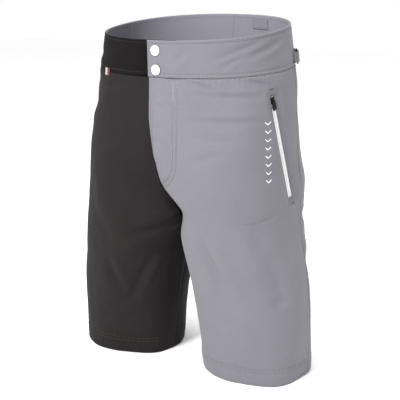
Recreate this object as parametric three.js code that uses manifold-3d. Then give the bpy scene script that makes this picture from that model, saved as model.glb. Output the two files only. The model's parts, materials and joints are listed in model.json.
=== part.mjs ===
// Two-tone outdoor shorts, standing open on their hems as if worn: cloth panels, a waistband that
// closes at the front with two snaps, a zipped fly under a flap, two zipped side pockets and two
// waist adjusters. Millimetres, +Z up, front towards -Y, wearer's left towards +X, origin on the
// ground midway between the legs.
import * as THREE from 'three';
import { mergeVertices } from 'three/addons/utils/BufferGeometryUtils.js';
import Module from 'manifold-3d';

const wasm = await Module();
wasm.setup();

// ---------------------------------------------------------------- driving dimensions
const INSEAM = 262; // hem to the lowest point of the crotch
const RISE_TO_HIP = 96; // crotch to the fullest part of the hips
const HIP_TO_BAND = 124; // hips to the seam under the waistband
const BAND_HEIGHT = 59; // waistband, seam to rim
const CROTCH_CURVE = 48; // height over which the crotch seam turns under
const RIM_TILT = 15; // how far the rim drops at the front and rises at the back
const TILT_BELOW_HIP = 33; // where the tilt starts under the hips
const FORM_POWER = 2.25; // roundness of the level sections, 2 being an ellipse

const WAIST_HALF_WIDTH = 152;
const WAIST_FRONT = 113;
const WAIST_BACK = 122;
const HIP_OUTER = 133; // leg axis to the outer side at the hips
const LEG_OUTER = 99; // the same at mid thigh
const HEM_OUTER = 75; // the same at the hem
const HEM_INNER = 91; // leg axis to the inner side at the hem
const STANCE = 127; // middle of the body to a leg's axis at the hem

const SEAM_GAP = 0.4; // clearance between pieces that are sewn edge to edge
const LAYER_GAP = 0.3; // clearance between cloths that lie on each other
const CLOTH = 1.8; // panel cloth with its seam allowance
const BAND_CLOTH = 1.2; // outer cloth of the waistband
const FACING_CLOTH = 1.1; // inner cloth of the waistband and of the flap
const SIDE_SEAM_ANGLE = 12; // degrees behind the widest point of the section

const FLAP_HINGE = 42; // sewn line of the fly flap, to the left of the middle
const FLAP_EDGE = -6; // free edge of the flap
const OVERLAP_EDGE = -12; // free edge of the waistband overlap
const FLAP_LENGTH = 137; // waistband seam down to the lowest point that opens
const FLAP_RAISE = 1.8; // outer face of the flap above the panels
const FLAP_CLOTH = 1.3;
const UNDERLAP_SINK = 5; // how far the underlap steps in to make room for the snaps
const UNDERLAP_END = 36;
const UNDERLAP_STEP = 20; // length over which the underlap steps in
const UNDERLAP_LEAD = 4; // where the step ends before the overlap's free edge
const SHIELD_ROOM = 0.8; // between the fly zip's slider and the fly shield
const SHIELD_CLOTH = 1.2;
const SHIELD_HALF_WIDTH = 27;
const SHIELD_ABOVE = 3; // shield past the top of the fly zip
const SHIELD_BELOW = 8; // and past its lower end

const SNAP_CAP_RADIUS = 7.8;
const SNAP_SOCKET_RADIUS = 5.2;
const SNAP_STUD_RADIUS = 2.1;
const SNAP_SHANK_RADIUS = 1.5;
const SNAP_CLEARANCE = 0.5;
const SNAP_CAP_HEIGHT = 2.1;
const SNAP_CAP_RIM = 0.5; // straight side of the cap
const SNAP_CAP_CROWN = 2.4; // width of the cap's rounded border
const SNAP_FLANGE = 0.6; // thickness of the stud's flange
const SNAP_FLANGE_INSET = 0.8; // flange's radius under the socket's
const SNAP_NECK = 0.2; // how much the stud narrows at its foot
const SNAP_TIP = 0.4; // how much it narrows at its tip
const SNAP_POST_RADIUS = 4.6;
const SNAP_POST = 0.9; // thickness of the plate inside the band
const SNAP_SEAT = 0.15; // between a shank's end and the piece it meets
const SNAP_X = 3.5; // snaps to the left of the middle
const SNAP_DROPS = [16, 47]; // rim to each snap

const ZIP_SLOT = 1.4; // gap between the two rows of teeth, where the slider's bridge runs
const TOOTH_ROW = 2.6; // width of one row of teeth
const TOOTH_HEIGHT = 1.6;
const TAPE_WIDTH = 8;
const TAPE_THICKNESS = 0.6;
const SLIDER_WIDTH = 8;
const SLIDER_LENGTH = 10;
const SLIDER_PLATE = 0.9;
const SLIDER_CLEARANCE = 0.3;
const PULL_WIDTH = 8.6;
const PULL_LENGTH = 15;
const PULL_THICKNESS = 1.4;
const PIN_RADIUS = 0.6;
const PIN_CLEARANCE = 0.25;
const LUG_HALF = 1.1; // half the width of the slider's lug
const LUG_REACH = 1.9; // half the length of the lug
const LUG_WALL = 0.5; // metal over and under the lug's hole
const LUG_ROOT = 0.2; // how far the lug is let into the plate
const ARM_CLEARANCE = 0.4; // lug to each arm of the pull
const ARM_WIDTH = 1.1;
const ARM_ABOVE = 0.9; // arms past the pin
const TAB_BELOW = 2.6; // pin to the tab of the pull
const SLIDER_BELOW = 1; // top of the zip to the slider's upper end

const FLY_ZIP_X = 6;
const FLY_ZIP_TOP = 10; // waistband seam to the top of the fly zip
const FLY_ZIP_LENGTH = 122;
const FLY_ZIP_ROOM = 4.9; // inner face of the panels to the tape of the fly zip
const FACING_INSET = 7.2; // flap's free edge to the edge of its facing
const NOTCH_OVER = 4; // how far the opening's cutter runs past the cloth it cuts

const POCKET_TOP_DROP = 34; // waistband seam to the top of the pocket zip
const POCKET_BOTTOM_DROP = 196;
const POCKET_TOP_FORWARD = 66; // pocket zip's top in front of the side seam
const POCKET_BOTTOM_FORWARD = 26;
const POCKET_WINDOW = 10.6; // width of the window in the panel that shows the zip
const POCKET_ROOM = 3.1; // inner face of the panel to the tape of the pocket zip
const WINDOW_END = 2; // window past the top of the zip, and short of its lower end
const WINDOW_IN = 4; // window's cutter inside the tape
const WINDOW_OUT = 14; // and outside it
const BAG_WIDTH = 110;
const BAG_ABOVE = 10; // bag past the top of the zip
const BAG_BELOW = 12; // and past its lower end
const BAG_ROOM = 2.1; // between the pocket slider and the bag
const BAG_CLOTH = 1.6;

const ADJUSTER_BEHIND = 22; // side seam back to the adjuster ring, along the waistband
const ADJUSTER_RISE = 11; // waistband seam up to the middle of the adjuster
const STRAP_WIDTH = 15;
const STRAP_CLOTH = 1.1;
const STRAP_LENGTH = 52;
const RING_BAR = 1.2; // radius of the ring's bars
const RING_WIDTH = 11; // between the axes of the ring's two upright bars
const RING_SLACK = 1.8; // room in the ring above and below the strap
const ANCHOR_LENGTH = 13;
const ANCHOR_TURN = 2.5; // where the anchor leaves the ring's bar
const ANCHOR_DIP = 0.5; // how far it has come down there
const STRAP_TURN = 1.6; // where the strap ends on the ring's bar
const STRAP_DIP = 0.15;
const TAB_TURN = 2.4; // where the tab starts on the ring's bar
const TAB_DIP = 0.4;
const TAB_SLOPE = [5, 9]; // where the tab comes down and where it lies flat
const TAB_RISE = 0.5; // tab over its flat level where it comes down
const STRAP_TAIL = 6; // lower layer of the strap past the tab's end
const HOOK_PATCH = 0.9;
const HOOK_FROM = 20; // hook patch's two ends before the tab's end
const HOOK_TO = 2;
const LABEL_CLOTH = 0.6;
const BACK_LABEL_FROM = 36; // back label's near edge to the left of the middle back
const BACK_LABEL_WIDTH = 34;
const BACK_LABEL_DROPS = [10, 28]; // rim to the back label's two edges
const SIDE_LABEL_FROM = 99.9; // side label's near edge to the right of the middle, along the band
const SIDE_LABEL_WIDTH = 15.6;
const LABEL_COLUMNS = 8; // flats across a label, fine enough to keep its gap on the curved band
const SIDE_LABEL_HALF = 6; // side label over and under the waistband seam

// ---------------------------------------------------------------- heights that follow from them
const HIP = INSEAM + RISE_TO_HIP;
const BAND_SEAM = HIP + HIP_TO_BAND;
const RIM = BAND_SEAM + BAND_HEIGHT;
const MID_THIGH = INSEAM / 2;
const TILT_FROM = HIP - TILT_BELOW_HIP;
const MEAN_DEPTH = (WAIST_FRONT + WAIST_BACK) / 2;

// ---------------------------------------------------------------- colours
const CLOTH_GREY = 0x94949b;
const CLOTH_BLACK = 0x2c2a2b;
const TRIM_WHITE = 0xf2f2f2;
const PLASTIC_BLACK = 0x161617;
const METAL = 0xb8bac0;
const LABEL_RED = 0xb03034;
const LABEL_GREY = 0x8a8a93;

const finish = (color, roughness, metalness = 0) =>
  new THREE.MeshStandardMaterial({ color, roughness, metalness });
const greyCloth = () => finish(CLOTH_GREY, 0.85);
const blackCloth = () => finish(CLOTH_BLACK, 0.8);
const whiteTrim = () => finish(TRIM_WHITE, 0.4);
const blackPlastic = () => finish(PLASTIC_BLACK, 0.45);
const metal = () => finish(METAL, 0.35, 1);

const shorts = new THREE.Group();

function add(name, geometry, material) {
  const mesh = new THREE.Mesh(geometry, material);
  mesh.name = name;
  shorts.add(mesh);
  return mesh;
}

// ---------------------------------------------------------------- the worn form
// Each level section of one leg half: axis, outer and inner half width, middle, front and back.
const levels = [
  [0, STANCE, HEM_OUTER, HEM_INNER, -12, 69, 89],
  [MID_THIGH, 106, LEG_OUTER, 87, -8, 81, 79],
  [INSEAM, 79, 102.5, 93.5, -3, 111, 115],
  [HIP, 41, HIP_OUTER, 90, -4, 118, 127],
  [BAND_SEAM, 5, WAIST_HALF_WIDTH + 7, 60, 2.5, WAIST_FRONT - 3, WAIST_BACK - 9],
  [RIM, 0, WAIST_HALF_WIDTH, 59, 4, WAIST_FRONT, WAIST_BACK],
];
const form = new THREE.CubicInterpolant(
  levels.map((row) => row[0]),
  levels.flatMap((row) => row.slice(1)),
  6,
);

const ARC_STEPS = 60;
const WALL_STEPS = 8;
const rings = new Map();

/** One half of the level section at a height: points from the front round the side to the back. */
function halfRing(height) {
  if (rings.has(height)) return rings.get(height);
  const [axis, outer, inner, middle, front, back] = form.evaluate(height);
  const edge = SEAM_GAP / 2;
  const reach = Math.min(1, (axis - edge) / inner);
  const inside = Math.max(-1, Math.sign(reach) * -(Math.abs(reach) ** (FORM_POWER / 2)));
  const start = Math.acos(inside);
  const along = (angle) => {
    const c = Math.cos(angle);
    const s = Math.sin(angle);
    const across = c > 0 ? outer : inner;
    const deep = s < 0 ? front : back;
    return new THREE.Vector2(
      axis + across * Math.sign(c) * Math.abs(c) ** (2 / FORM_POWER),
      middle + deep * Math.sign(s) * Math.abs(s) ** (2 / FORM_POWER),
    );
  };
  const turn = Math.min(1, Math.max(0, (INSEAM + CROTCH_CURVE - height) / CROTCH_CURVE));
  const open = Math.sqrt(1 - turn * turn);
  const side = THREE.MathUtils.degToRad(SIDE_SEAM_ANGLE);
  const half = (from, to) => {
    const first = along(from);
    const points = [];
    if (reach < 1 && open < 1) {
      const y = middle + (first.y - middle) * open;
      for (let i = 0; i < WALL_STEPS; i += 1) {
        points.push(new THREE.Vector2(edge, THREE.MathUtils.lerp(y, first.y, i / WALL_STEPS)));
      }
    }
    for (let i = 0; i <= ARC_STEPS; i += 1) {
      points.push(along(THREE.MathUtils.lerp(from, to, i / ARC_STEPS)));
    }
    return points;
  };
  const measure = (points) => {
    const runs = [0];
    for (let i = 1; i < points.length; i += 1) {
      runs.push(runs[i - 1] + points[i].distanceTo(points[i - 1]));
    }
    return { points, runs, length: runs[runs.length - 1] };
  };
  const ring = { front: measure(half(-start, side)), back: measure(half(start, side)) };
  rings.set(height, ring);
  return ring;
}

/** Point on a measured line at a share of its length. */
function pointAlong(line, share) {
  const run = THREE.MathUtils.clamp(share, 0, 1) * line.length;
  let i = 1;
  while (i < line.runs.length - 1 && line.runs[i] < run) i += 1;
  const part = (run - line.runs[i - 1]) / (line.runs[i] - line.runs[i - 1] || 1);
  return line.points[i - 1].clone().lerp(line.points[i], part);
}

// A bearing runs 0 at the middle front, 90 at the left side seam and 180 at the middle back,
// and is negative on the right. Shares of a quarter are shares of its real length.
function ringPoint(bearing, height) {
  const ring = halfRing(height);
  const turn = Math.abs(bearing);
  const point = turn <= 90
    ? pointAlong(ring.front, turn / 90)
    : pointAlong(ring.back, (180 - turn) / 90);
  return new THREE.Vector2(bearing < 0 ? -point.x : point.x, point.y);
}

/** Bearing a distance further back from a bearing, along the level section. */
function bearingAfter(bearing, distance, height) {
  const ring = halfRing(height);
  const quarter = Math.abs(bearing) < 90 ? ring.front : ring.back;
  return bearing + (Math.sign(bearing || 1) * 90 * distance) / quarter.length;
}

/** Bearing of a point on the front at a distance left of the middle. */
function bearingAtX(x, height) {
  const line = halfRing(height).front;
  const away = Math.abs(x);
  let i = 1;
  while (i < line.points.length - 1 && line.points[i].x < away) i += 1;
  const low = line.points[i - 1];
  const high = line.points[i];
  const part = THREE.MathUtils.clamp((away - low.x) / (high.x - low.x), 0, 1);
  const run = THREE.MathUtils.lerp(line.runs[i - 1], line.runs[i], part);
  return (Math.sign(x) * 90 * run) / line.length;
}

const NORMAL_STEP = 2.5; // degrees of bearing over which the cloth's direction is taken

/**
 * Outward direction of the cloth, level with the ground. Under the crotch a leg's ring closes on
 * itself; above it the two halves meet at the middle, and the direction is taken across that
 * seam or from one side of it.
 */
function outward(bearing, height, across) {
  const side = bearing < 0 ? -1 : 1;
  const turn = Math.abs(bearing);
  const at = (value) => {
    if (value >= 0 && value <= 180) return ringPoint(value, height);
    if (height <= INSEAM) return ringPoint(value < 0 ? value + 180 : value - 180, height);
    if (!across) return ringPoint(THREE.MathUtils.clamp(value, 0, 180), height);
    const mirrored = ringPoint(value < 0 ? -value : 360 - value, height);
    mirrored.x *= -1;
    return mirrored;
  };
  const along = at(turn + NORMAL_STEP).sub(at(turn - NORMAL_STEP));
  return new THREE.Vector2(side * along.y, -along.x).normalize();
}

/** Point on the cloth: bearing, height up the cloth, and level out of (+) or into (-) it. */
function skin(bearing, height, level, across = true) {
  const base = ringPoint(bearing, height);
  const out = outward(bearing, height, across);
  const tilt = THREE.MathUtils.clamp((height - TILT_FROM) / (RIM - TILT_FROM), 0, 1);
  return new THREE.Vector3(
    base.x + out.x * level,
    base.y + out.y * level,
    height + (RIM_TILT * tilt * base.y) / MEAN_DEPTH,
  );
}

// ---------------------------------------------------------------- solids
/** Geometry of a closed body from corners and triangles, turned so its faces point out. */
function body(corners, triangles) {
  const volume = triangles.reduce(
    (sum, [a, b, c]) => sum + corners[a].dot(corners[b].clone().cross(corners[c])),
    0,
  );
  const faces = volume < 0 ? triangles.map(([a, b, c]) => [a, c, b]) : triangles;
  const geometry = new THREE.BufferGeometry();
  geometry.setAttribute(
    'position',
    new THREE.Float32BufferAttribute(corners.flatMap((p) => [p.x, p.y, p.z]), 3),
  );
  geometry.setIndex(faces.flat());
  geometry.computeVertexNormals();
  return geometry;
}

/** Cloth between two bearings and over a list of heights, from an inner to an outer level. */
function shell({ from, to, heights, outer, inner, columns, across = true, surface = skin }) {
  const level = (value, bearing) => (typeof value === 'function' ? value(bearing) : value);
  const corners = [];
  for (const layer of [outer, inner]) {
    for (const height of heights) {
      const first = typeof from === 'function' ? from(height) : from;
      const last = typeof to === 'function' ? to(height) : to;
      for (let i = 0; i <= columns; i += 1) {
        const bearing = THREE.MathUtils.lerp(first, last, i / columns);
        corners.push(surface(bearing, height, level(layer, bearing), across));
      }
    }
  }
  const wide = columns + 1;
  const tall = heights.length;
  const at = (layer, row, column) => (layer * tall + row) * wide + column;
  const triangles = [];
  const quad = (a, b, c, d) => triangles.push([a, b, c], [a, c, d]);
  for (let row = 0; row < tall - 1; row += 1) {
    for (let i = 0; i < columns; i += 1) {
      quad(at(0, row, i), at(0, row, i + 1), at(0, row + 1, i + 1), at(0, row + 1, i));
      quad(at(1, row, i), at(1, row + 1, i), at(1, row + 1, i + 1), at(1, row, i + 1));
    }
    quad(at(0, row, 0), at(0, row + 1, 0), at(1, row + 1, 0), at(1, row, 0));
    quad(at(0, row, columns), at(1, row, columns), at(1, row + 1, columns), at(0, row + 1, columns));
  }
  for (let i = 0; i < columns; i += 1) {
    const top = tall - 1;
    quad(at(0, 0, i), at(1, 0, i), at(1, 0, i + 1), at(0, 0, i + 1));
    quad(at(0, top, i), at(0, top, i + 1), at(1, top, i + 1), at(1, top, i));
  }
  return body(corners, triangles);
}

/** Even steps from one height to another. */
function steps(low, high, count) {
  return Array.from({ length: count + 1 }, (_, i) => THREE.MathUtils.lerp(low, high, i / count));
}

function toManifold(geometry) {
  const bare = geometry.clone();
  bare.deleteAttribute('normal');
  bare.deleteAttribute('uv');
  const merged = mergeVertices(bare, 1e-4);
  return new wasm.Manifold(new wasm.Mesh({
    numProp: 3,
    vertProperties: new Float32Array(merged.attributes.position.array),
    triVerts: new Uint32Array(merged.index.array),
  }));
}

function toGeometry(solid) {
  const mesh = solid.getMesh();
  const geometry = new THREE.BufferGeometry();
  geometry.setAttribute('position', new THREE.Float32BufferAttribute(mesh.vertProperties, 3));
  geometry.setIndex([...mesh.triVerts]);
  geometry.computeVertexNormals();
  return geometry;
}

/** A geometry with others cut out of it. */
function cut(geometry, ...cutters) {
  return toGeometry(cutters.reduce((left, c) => left.subtract(toManifold(c)), toManifold(geometry)));
}

/** Several geometries joined into one body. */
function join(...parts) {
  const solids = parts.map(toManifold);
  return toGeometry(solids.slice(1).reduce((whole, part) => whole.add(part), solids[0]));
}

/** Point on the waistband, whose cloth runs straight from its seam to the rim. */
function bandSkin(bearing, height, level) {
  const share = (height - BAND_SEAM) / BAND_HEIGHT;
  return skin(bearing, BAND_SEAM, level).lerp(skin(bearing, RIM, level), share);
}

/** Placement with Y along a line up the cloth and Z out of the cloth, near a given direction. */
function placement(origin, up, flat) {
  const out = new THREE.Vector3(flat.x, flat.y, 0);
  out.addScaledVector(up, -out.dot(up)).normalize();
  return new THREE.Matrix4().makeBasis(up.clone().cross(out), up, out).setPosition(origin);
}

/** Placement on the waistband. */
function bandSeat(bearing, height, level) {
  const origin = bandSkin(bearing, height, level);
  const up = bandSkin(bearing, RIM, level).sub(bandSkin(bearing, BAND_SEAM, level)).normalize();
  return placement(origin, up, outward(bearing, height, true));
}

/** A body turned round the seat's Z axis, from a half profile of radius and level. */
function turned(profile, place) {
  const points = profile.map(([radius, level]) => new THREE.Vector2(radius, level));
  const geometry = new THREE.LatheGeometry(points, 20);
  geometry.rotateX(Math.PI / 2);
  geometry.applyMatrix4(place);
  return geometry;
}

/** A box by its low and high corners. */
function block(low, high) {
  const geometry = new THREE.BoxGeometry(high[0] - low[0], high[1] - low[1], high[2] - low[2]);
  geometry.translate((low[0] + high[0]) / 2, (low[1] + high[1]) / 2, (low[2] + high[2]) / 2);
  return geometry;
}

/** An outline extruded by a length along +Y of its seat, the outline lying in X and Z. */
function bar(outline, start, end) {
  const shape = new THREE.Shape(outline.map(([x, z]) => new THREE.Vector2(x, z)));
  const geometry = new THREE.ExtrudeGeometry(shape, { depth: end - start, bevelEnabled: false });
  geometry.rotateX(Math.PI / 2);
  geometry.translate(0, end, 0);
  return geometry;
}

// ---------------------------------------------------------------- panels
const panelHeights = [
  ...steps(0, MID_THIGH, 3),
  ...steps(MID_THIGH, INSEAM, 4).slice(1),
  ...steps(INSEAM, INSEAM + CROTCH_CURVE, 4).slice(1),
  HIP,
  ...steps(HIP, BAND_SEAM - SEAM_GAP / 2, 4).slice(1),
];
const sideGap = (height) => (90 * SEAM_GAP) / 2 / halfRing(height).front.length;
const sideFront = (height) => 90 - sideGap(height);
const sideBack = (height) => 90 + sideGap(height);
const inseamGap = (height) => (height < INSEAM + CROTCH_CURVE ? sideGap(height) : 0);

function panel(side, face) {
  const front = face === 'front';
  return shell({
    from: (height) => side * (front ? inseamGap(height) : sideBack(height)),
    to: (height) => side * (front ? sideFront(height) : 180 - inseamGap(height)),
    heights: panelHeights,
    outer: 0,
    inner: -CLOTH,
    columns: 16,
    across: false,
  });
}

const flapBottom = BAND_SEAM - FLAP_LENGTH;
const flyNotch = shell({
  from: (height) => bearingAtX(-NOTCH_OVER, height),
  to: (height) => bearingAtX(FLAP_HINGE + SEAM_GAP, height),
  heights: steps(flapBottom - SEAM_GAP, BAND_SEAM + NOTCH_OVER, 8),
  outer: 2 * NOTCH_OVER,
  inner: -2 * NOTCH_OVER,
  columns: 4,
});

// ---------------------------------------------------------------- pocket zips
/** Seat of a zip whose teeth run straight between two points of the cloth. */
function zipSeat(top, bottom, bearing, height) {
  const up = top.clone().sub(bottom).normalize();
  return placement(top, up, outward(bearing, height, true));
}

/** Tape and teeth of one side of a zip, hanging down from the seat. */
function zipSide(sign, length, place) {
  const near = ZIP_SLOT / 2;
  const far = near + TOOTH_ROW;
  const outline = [
    [near, -TOOTH_HEIGHT / 2],
    [far, -TOOTH_HEIGHT / 2],
    [far, -TAPE_THICKNESS / 2],
    [near + TAPE_WIDTH, -TAPE_THICKNESS / 2],
    [near + TAPE_WIDTH, TAPE_THICKNESS / 2],
    [far, TAPE_THICKNESS / 2],
    [far, TOOTH_HEIGHT / 2],
    [near, TOOTH_HEIGHT / 2],
  ].map(([x, z]) => [x * sign, z]);
  const geometry = bar(outline, -length, 0);
  geometry.applyMatrix4(place);
  return geometry;
}

const plateLow = TOOTH_HEIGHT / 2 + SLIDER_CLEARANCE;
const plateHigh = plateLow + SLIDER_PLATE;
const pinLevel = plateHigh + PIN_RADIUS + PIN_CLEARANCE + LUG_WALL;
const lugTop = pinLevel + PIN_RADIUS + PIN_CLEARANCE + LUG_WALL;
const sliderDrop = SLIDER_LENGTH / 2 + SLIDER_BELOW; // slider's middle under the top of the zip

/** Slider: two plates joined by a bridge between the teeth, with a lug that holds the pull. */
function slider(place) {
  const wide = SLIDER_WIDTH / 2;
  const long = SLIDER_LENGTH / 2;
  const bridge = ZIP_SLOT / 2 - SLIDER_CLEARANCE;
  const hole = new THREE.CylinderGeometry(
    PIN_RADIUS + PIN_CLEARANCE,
    PIN_RADIUS + PIN_CLEARANCE,
    4 * LUG_HALF,
    12,
  );
  hole.rotateZ(Math.PI / 2);
  hole.translate(0, 0, pinLevel);
  const solid = cut(
    join(
      block([-wide, -long, plateLow], [wide, long, plateHigh]),
      block([-wide, -long, -plateHigh], [wide, long, -plateLow]),
      block([-bridge, -long, -plateHigh], [bridge, long, plateHigh]),
      block([-LUG_HALF, -LUG_REACH, plateHigh - LUG_ROOT], [LUG_HALF, LUG_REACH, lugTop]),
    ),
    hole,
  );
  solid.translate(0, -sliderDrop, 0);
  solid.applyMatrix4(place);
  return solid;
}

/** Pull: a pin through the slider's lug, two arms and a flat tab. */
function pull(place) {
  const armIn = LUG_HALF + ARM_CLEARANCE;
  const armOut = armIn + ARM_WIDTH;
  const tabTop = -TAB_BELOW;
  const pin = new THREE.CylinderGeometry(PIN_RADIUS, PIN_RADIUS, 2 * armOut, 12);
  pin.rotateZ(Math.PI / 2);
  pin.translate(0, 0, pinLevel);
  const low = pinLevel - PULL_THICKNESS / 2;
  const high = pinLevel + PULL_THICKNESS / 2;
  const solid = join(
    pin,
    block([armIn, tabTop - ARM_ABOVE, low], [armOut, ARM_ABOVE, high]),
    block([-armOut, tabTop - ARM_ABOVE, low], [-armIn, ARM_ABOVE, high]),
    block([-PULL_WIDTH / 2, -PULL_LENGTH, low], [PULL_WIDTH / 2, tabTop, high]),
  );
  solid.translate(0, -sliderDrop, 0);
  solid.applyMatrix4(place);
  return solid;
}

const pocketDepth = CLOTH + POCKET_ROOM;
const pocketTop = BAND_SEAM - POCKET_TOP_DROP;
const pocketBottom = BAND_SEAM - POCKET_BOTTOM_DROP;
const pocketWindows = {};
for (const side of [1, -1]) {
  const name = side > 0 ? 'left' : 'right';
  const topBearing = side * bearingAfter(89.99, -POCKET_TOP_FORWARD, pocketTop);
  const bottomBearing = side * bearingAfter(89.99, -POCKET_BOTTOM_FORWARD, pocketBottom);
  const top = skin(topBearing, pocketTop, -pocketDepth);
  const bottom = skin(bottomBearing, pocketBottom, -pocketDepth);
  const midHeight = (pocketTop + pocketBottom) / 2;
  const place = zipSeat(top, bottom, (topBearing + bottomBearing) / 2, midHeight);
  const length = top.distanceTo(bottom);
  const half = POCKET_WINDOW / 2;
  // The zip runs straight, so at its middle it lies further in than the curved cloth does.
  const middle = skin((topBearing + bottomBearing) / 2, midHeight, -pocketDepth);
  const bow = middle.applyMatrix4(place.clone().invert()).z;
  const bagDepth = pocketDepth + bow + plateHigh + BAG_ROOM;
  const window = block([-half, -length + WINDOW_END, -WINDOW_IN], [half, WINDOW_END, WINDOW_OUT]);
  window.applyMatrix4(place);
  pocketWindows[name] = window;
  add(`pocket_zip_front_side_${name}`, zipSide(-side, length, place), whiteTrim());
  add(`pocket_zip_back_side_${name}`, zipSide(side, length, place), whiteTrim());
  add(`pocket_slider_${name}`, slider(place), blackPlastic());
  add(`pocket_pull_${name}`, pull(place), blackPlastic());
  add(
    `pocket_bag_${name}`,
    shell({
      from: (height) => side * bearingAfter(sideFront(height), -BAG_WIDTH, height),
      to: (height) => side * sideFront(height),
      heights: steps(pocketBottom - BAG_BELOW, pocketTop + BAG_ABOVE, 4),
      outer: -bagDepth,
      inner: -bagDepth - BAG_CLOTH,
      columns: 8,
    }),
    side > 0 ? greyCloth() : blackCloth(),
  );
}

add('front_panel_left', cut(panel(1, 'front'), flyNotch, pocketWindows.left), greyCloth());
add('front_panel_right', cut(panel(-1, 'front'), pocketWindows.right), blackCloth());
add('back_panel_left', panel(1, 'back'), greyCloth());
add('back_panel_right', panel(-1, 'back'), blackCloth());

// ---------------------------------------------------------------- waistband
const bandHeights = [BAND_SEAM + SEAM_GAP / 2, RIM];
const facingOuter = -BAND_CLOTH - LAYER_GAP;
const facingInner = facingOuter - FACING_CLOTH;
const bearingAtBand = (x) => (height) => bearingAtX(x, height);
const smooth = (value) => THREE.MathUtils.smoothstep(value, 0, 1);

/** How far the right front of the band steps in before it passes under the overlap. */
function underlapStep(bearing) {
  const distance = (bearing / 90) * halfRing(RIM).front.length;
  const start = OVERLAP_EDGE - UNDERLAP_LEAD - UNDERLAP_STEP;
  return -UNDERLAP_SINK * smooth((distance - start) / UNDERLAP_STEP);
}

function bandPiece(from, to, outer, inner, columns) {
  return shell({ from, to, heights: bandHeights, outer, inner, columns });
}

const snapSeats = SNAP_DROPS.map((drop) => bandSeat(bearingAtX(SNAP_X, RIM), RIM - drop, 0));

/** Cutters for the snaps' shanks, through the cloth from one level to another. */
function snapHoles(low, high) {
  return snapSeats.map((place) => {
    const radius = SNAP_SHANK_RADIUS + SNAP_CLEARANCE;
    return turned([[0, low], [radius, low], [radius, high], [0, high]], place);
  });
}

const backMiddle = (height) => 180 - sideGap(height);
const underlapLow = -UNDERLAP_SINK + facingInner - 2;

for (const [suffix, outer, inner] of [
  ['', 0, -BAND_CLOTH],
  ['_facing', facingOuter, facingInner],
]) {
  const grey = greyCloth();
  add(
    `waistband_front_left${suffix}`,
    bandPiece(bearingAtBand(FLAP_HINGE + SEAM_GAP), sideFront, outer, inner, 12),
    grey,
  );
  const right = bandPiece(
    (height) => -sideFront(height),
    bearingAtBand(UNDERLAP_END),
    (bearing) => outer + underlapStep(bearing),
    (bearing) => inner + underlapStep(bearing),
    30,
  );
  add(
    `waistband_front_right${suffix}`,
    cut(right, ...snapHoles(underlapLow, facingOuter - 1)),
    suffix ? greyCloth() : blackCloth(),
  );
  add(`waistband_back_left${suffix}`, bandPiece(sideBack, backMiddle, outer, inner, 14), grey);
  add(
    `waistband_back_right${suffix}`,
    bandPiece(
      (height) => -sideBack(height),
      (height) => -backMiddle(height),
      outer,
      inner,
      14,
    ),
    suffix ? greyCloth() : blackCloth(),
  );
}

// ---------------------------------------------------------------- overlap and fly flap
const overlapInner = FLAP_RAISE - FLAP_CLOTH;
const liningOuter = overlapInner - LAYER_GAP;
const liningInner = liningOuter - FACING_CLOTH;
const hingeEdge = bearingAtBand(FLAP_HINGE);
add(
  'waistband_overlap',
  cut(
    bandPiece(bearingAtBand(OVERLAP_EDGE), hingeEdge, FLAP_RAISE, overlapInner, 8),
    ...snapHoles(overlapInner - 1, FLAP_RAISE + 1),
  ),
  greyCloth(),
);
add(
  'waistband_overlap_facing',
  cut(
    bandPiece(bearingAtBand(OVERLAP_EDGE), hingeEdge, liningOuter, liningInner, 8),
    ...snapHoles(liningInner - 1, liningOuter + 1),
  ),
  greyCloth(),
);
const flapHeights = steps(flapBottom, BAND_SEAM - SEAM_GAP / 2, 8);
add(
  'fly_flap',
  shell({
    from: bearingAtBand(FLAP_EDGE),
    to: hingeEdge,
    heights: flapHeights,
    outer: FLAP_RAISE,
    inner: overlapInner,
    columns: 8,
  }),
  greyCloth(),
);
add(
  'fly_flap_facing',
  shell({
    from: bearingAtBand(FLAP_EDGE + FACING_INSET),
    to: bearingAtBand(FLAP_HINGE - 2 * SEAM_GAP),
    heights: flapHeights,
    outer: liningOuter,
    inner: liningInner,
    columns: 6,
  }),
  greyCloth(),
);

// ---------------------------------------------------------------- fly zip
const flyDepth = CLOTH + FLY_ZIP_ROOM + TAPE_THICKNESS / 2;
const shieldDepth = plateHigh + SHIELD_ROOM;
const flyTopHeight = BAND_SEAM - FLY_ZIP_TOP;
const flyBottomHeight = flyTopHeight - FLY_ZIP_LENGTH;
const flyTop = skin(bearingAtX(FLY_ZIP_X, flyTopHeight), flyTopHeight, -flyDepth);
const flyBottom = skin(bearingAtX(FLY_ZIP_X, flyBottomHeight), flyBottomHeight, -flyDepth);
const flySeat = zipSeat(flyTop, flyBottom, 0, (flyTopHeight + flyBottomHeight) / 2);
const flyLength = flyTop.distanceTo(flyBottom);
add('fly_zip_left_side', zipSide(1, flyLength, flySeat), blackCloth());
add('fly_zip_right_side', zipSide(-1, flyLength, flySeat), blackCloth());
const shield = block(
  [-SHIELD_HALF_WIDTH, -flyLength - SHIELD_BELOW, -shieldDepth - SHIELD_CLOTH],
  [SHIELD_HALF_WIDTH, SHIELD_ABOVE, -shieldDepth],
);
shield.applyMatrix4(flySeat);
add('fly_shield', shield, blackCloth());
add('fly_zip_slider', slider(flySeat), metal());
add('fly_zip_pull', pull(flySeat), metal());

// ---------------------------------------------------------------- snaps
const capLow = FLAP_RAISE + LAYER_GAP;
const socketHigh = liningInner - LAYER_GAP;
const studFlange = -UNDERLAP_SINK + 2 * LAYER_GAP;
const socketLow = studFlange + SNAP_FLANGE + LAYER_GAP;
const postHigh = -UNDERLAP_SINK + facingInner - LAYER_GAP;
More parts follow.
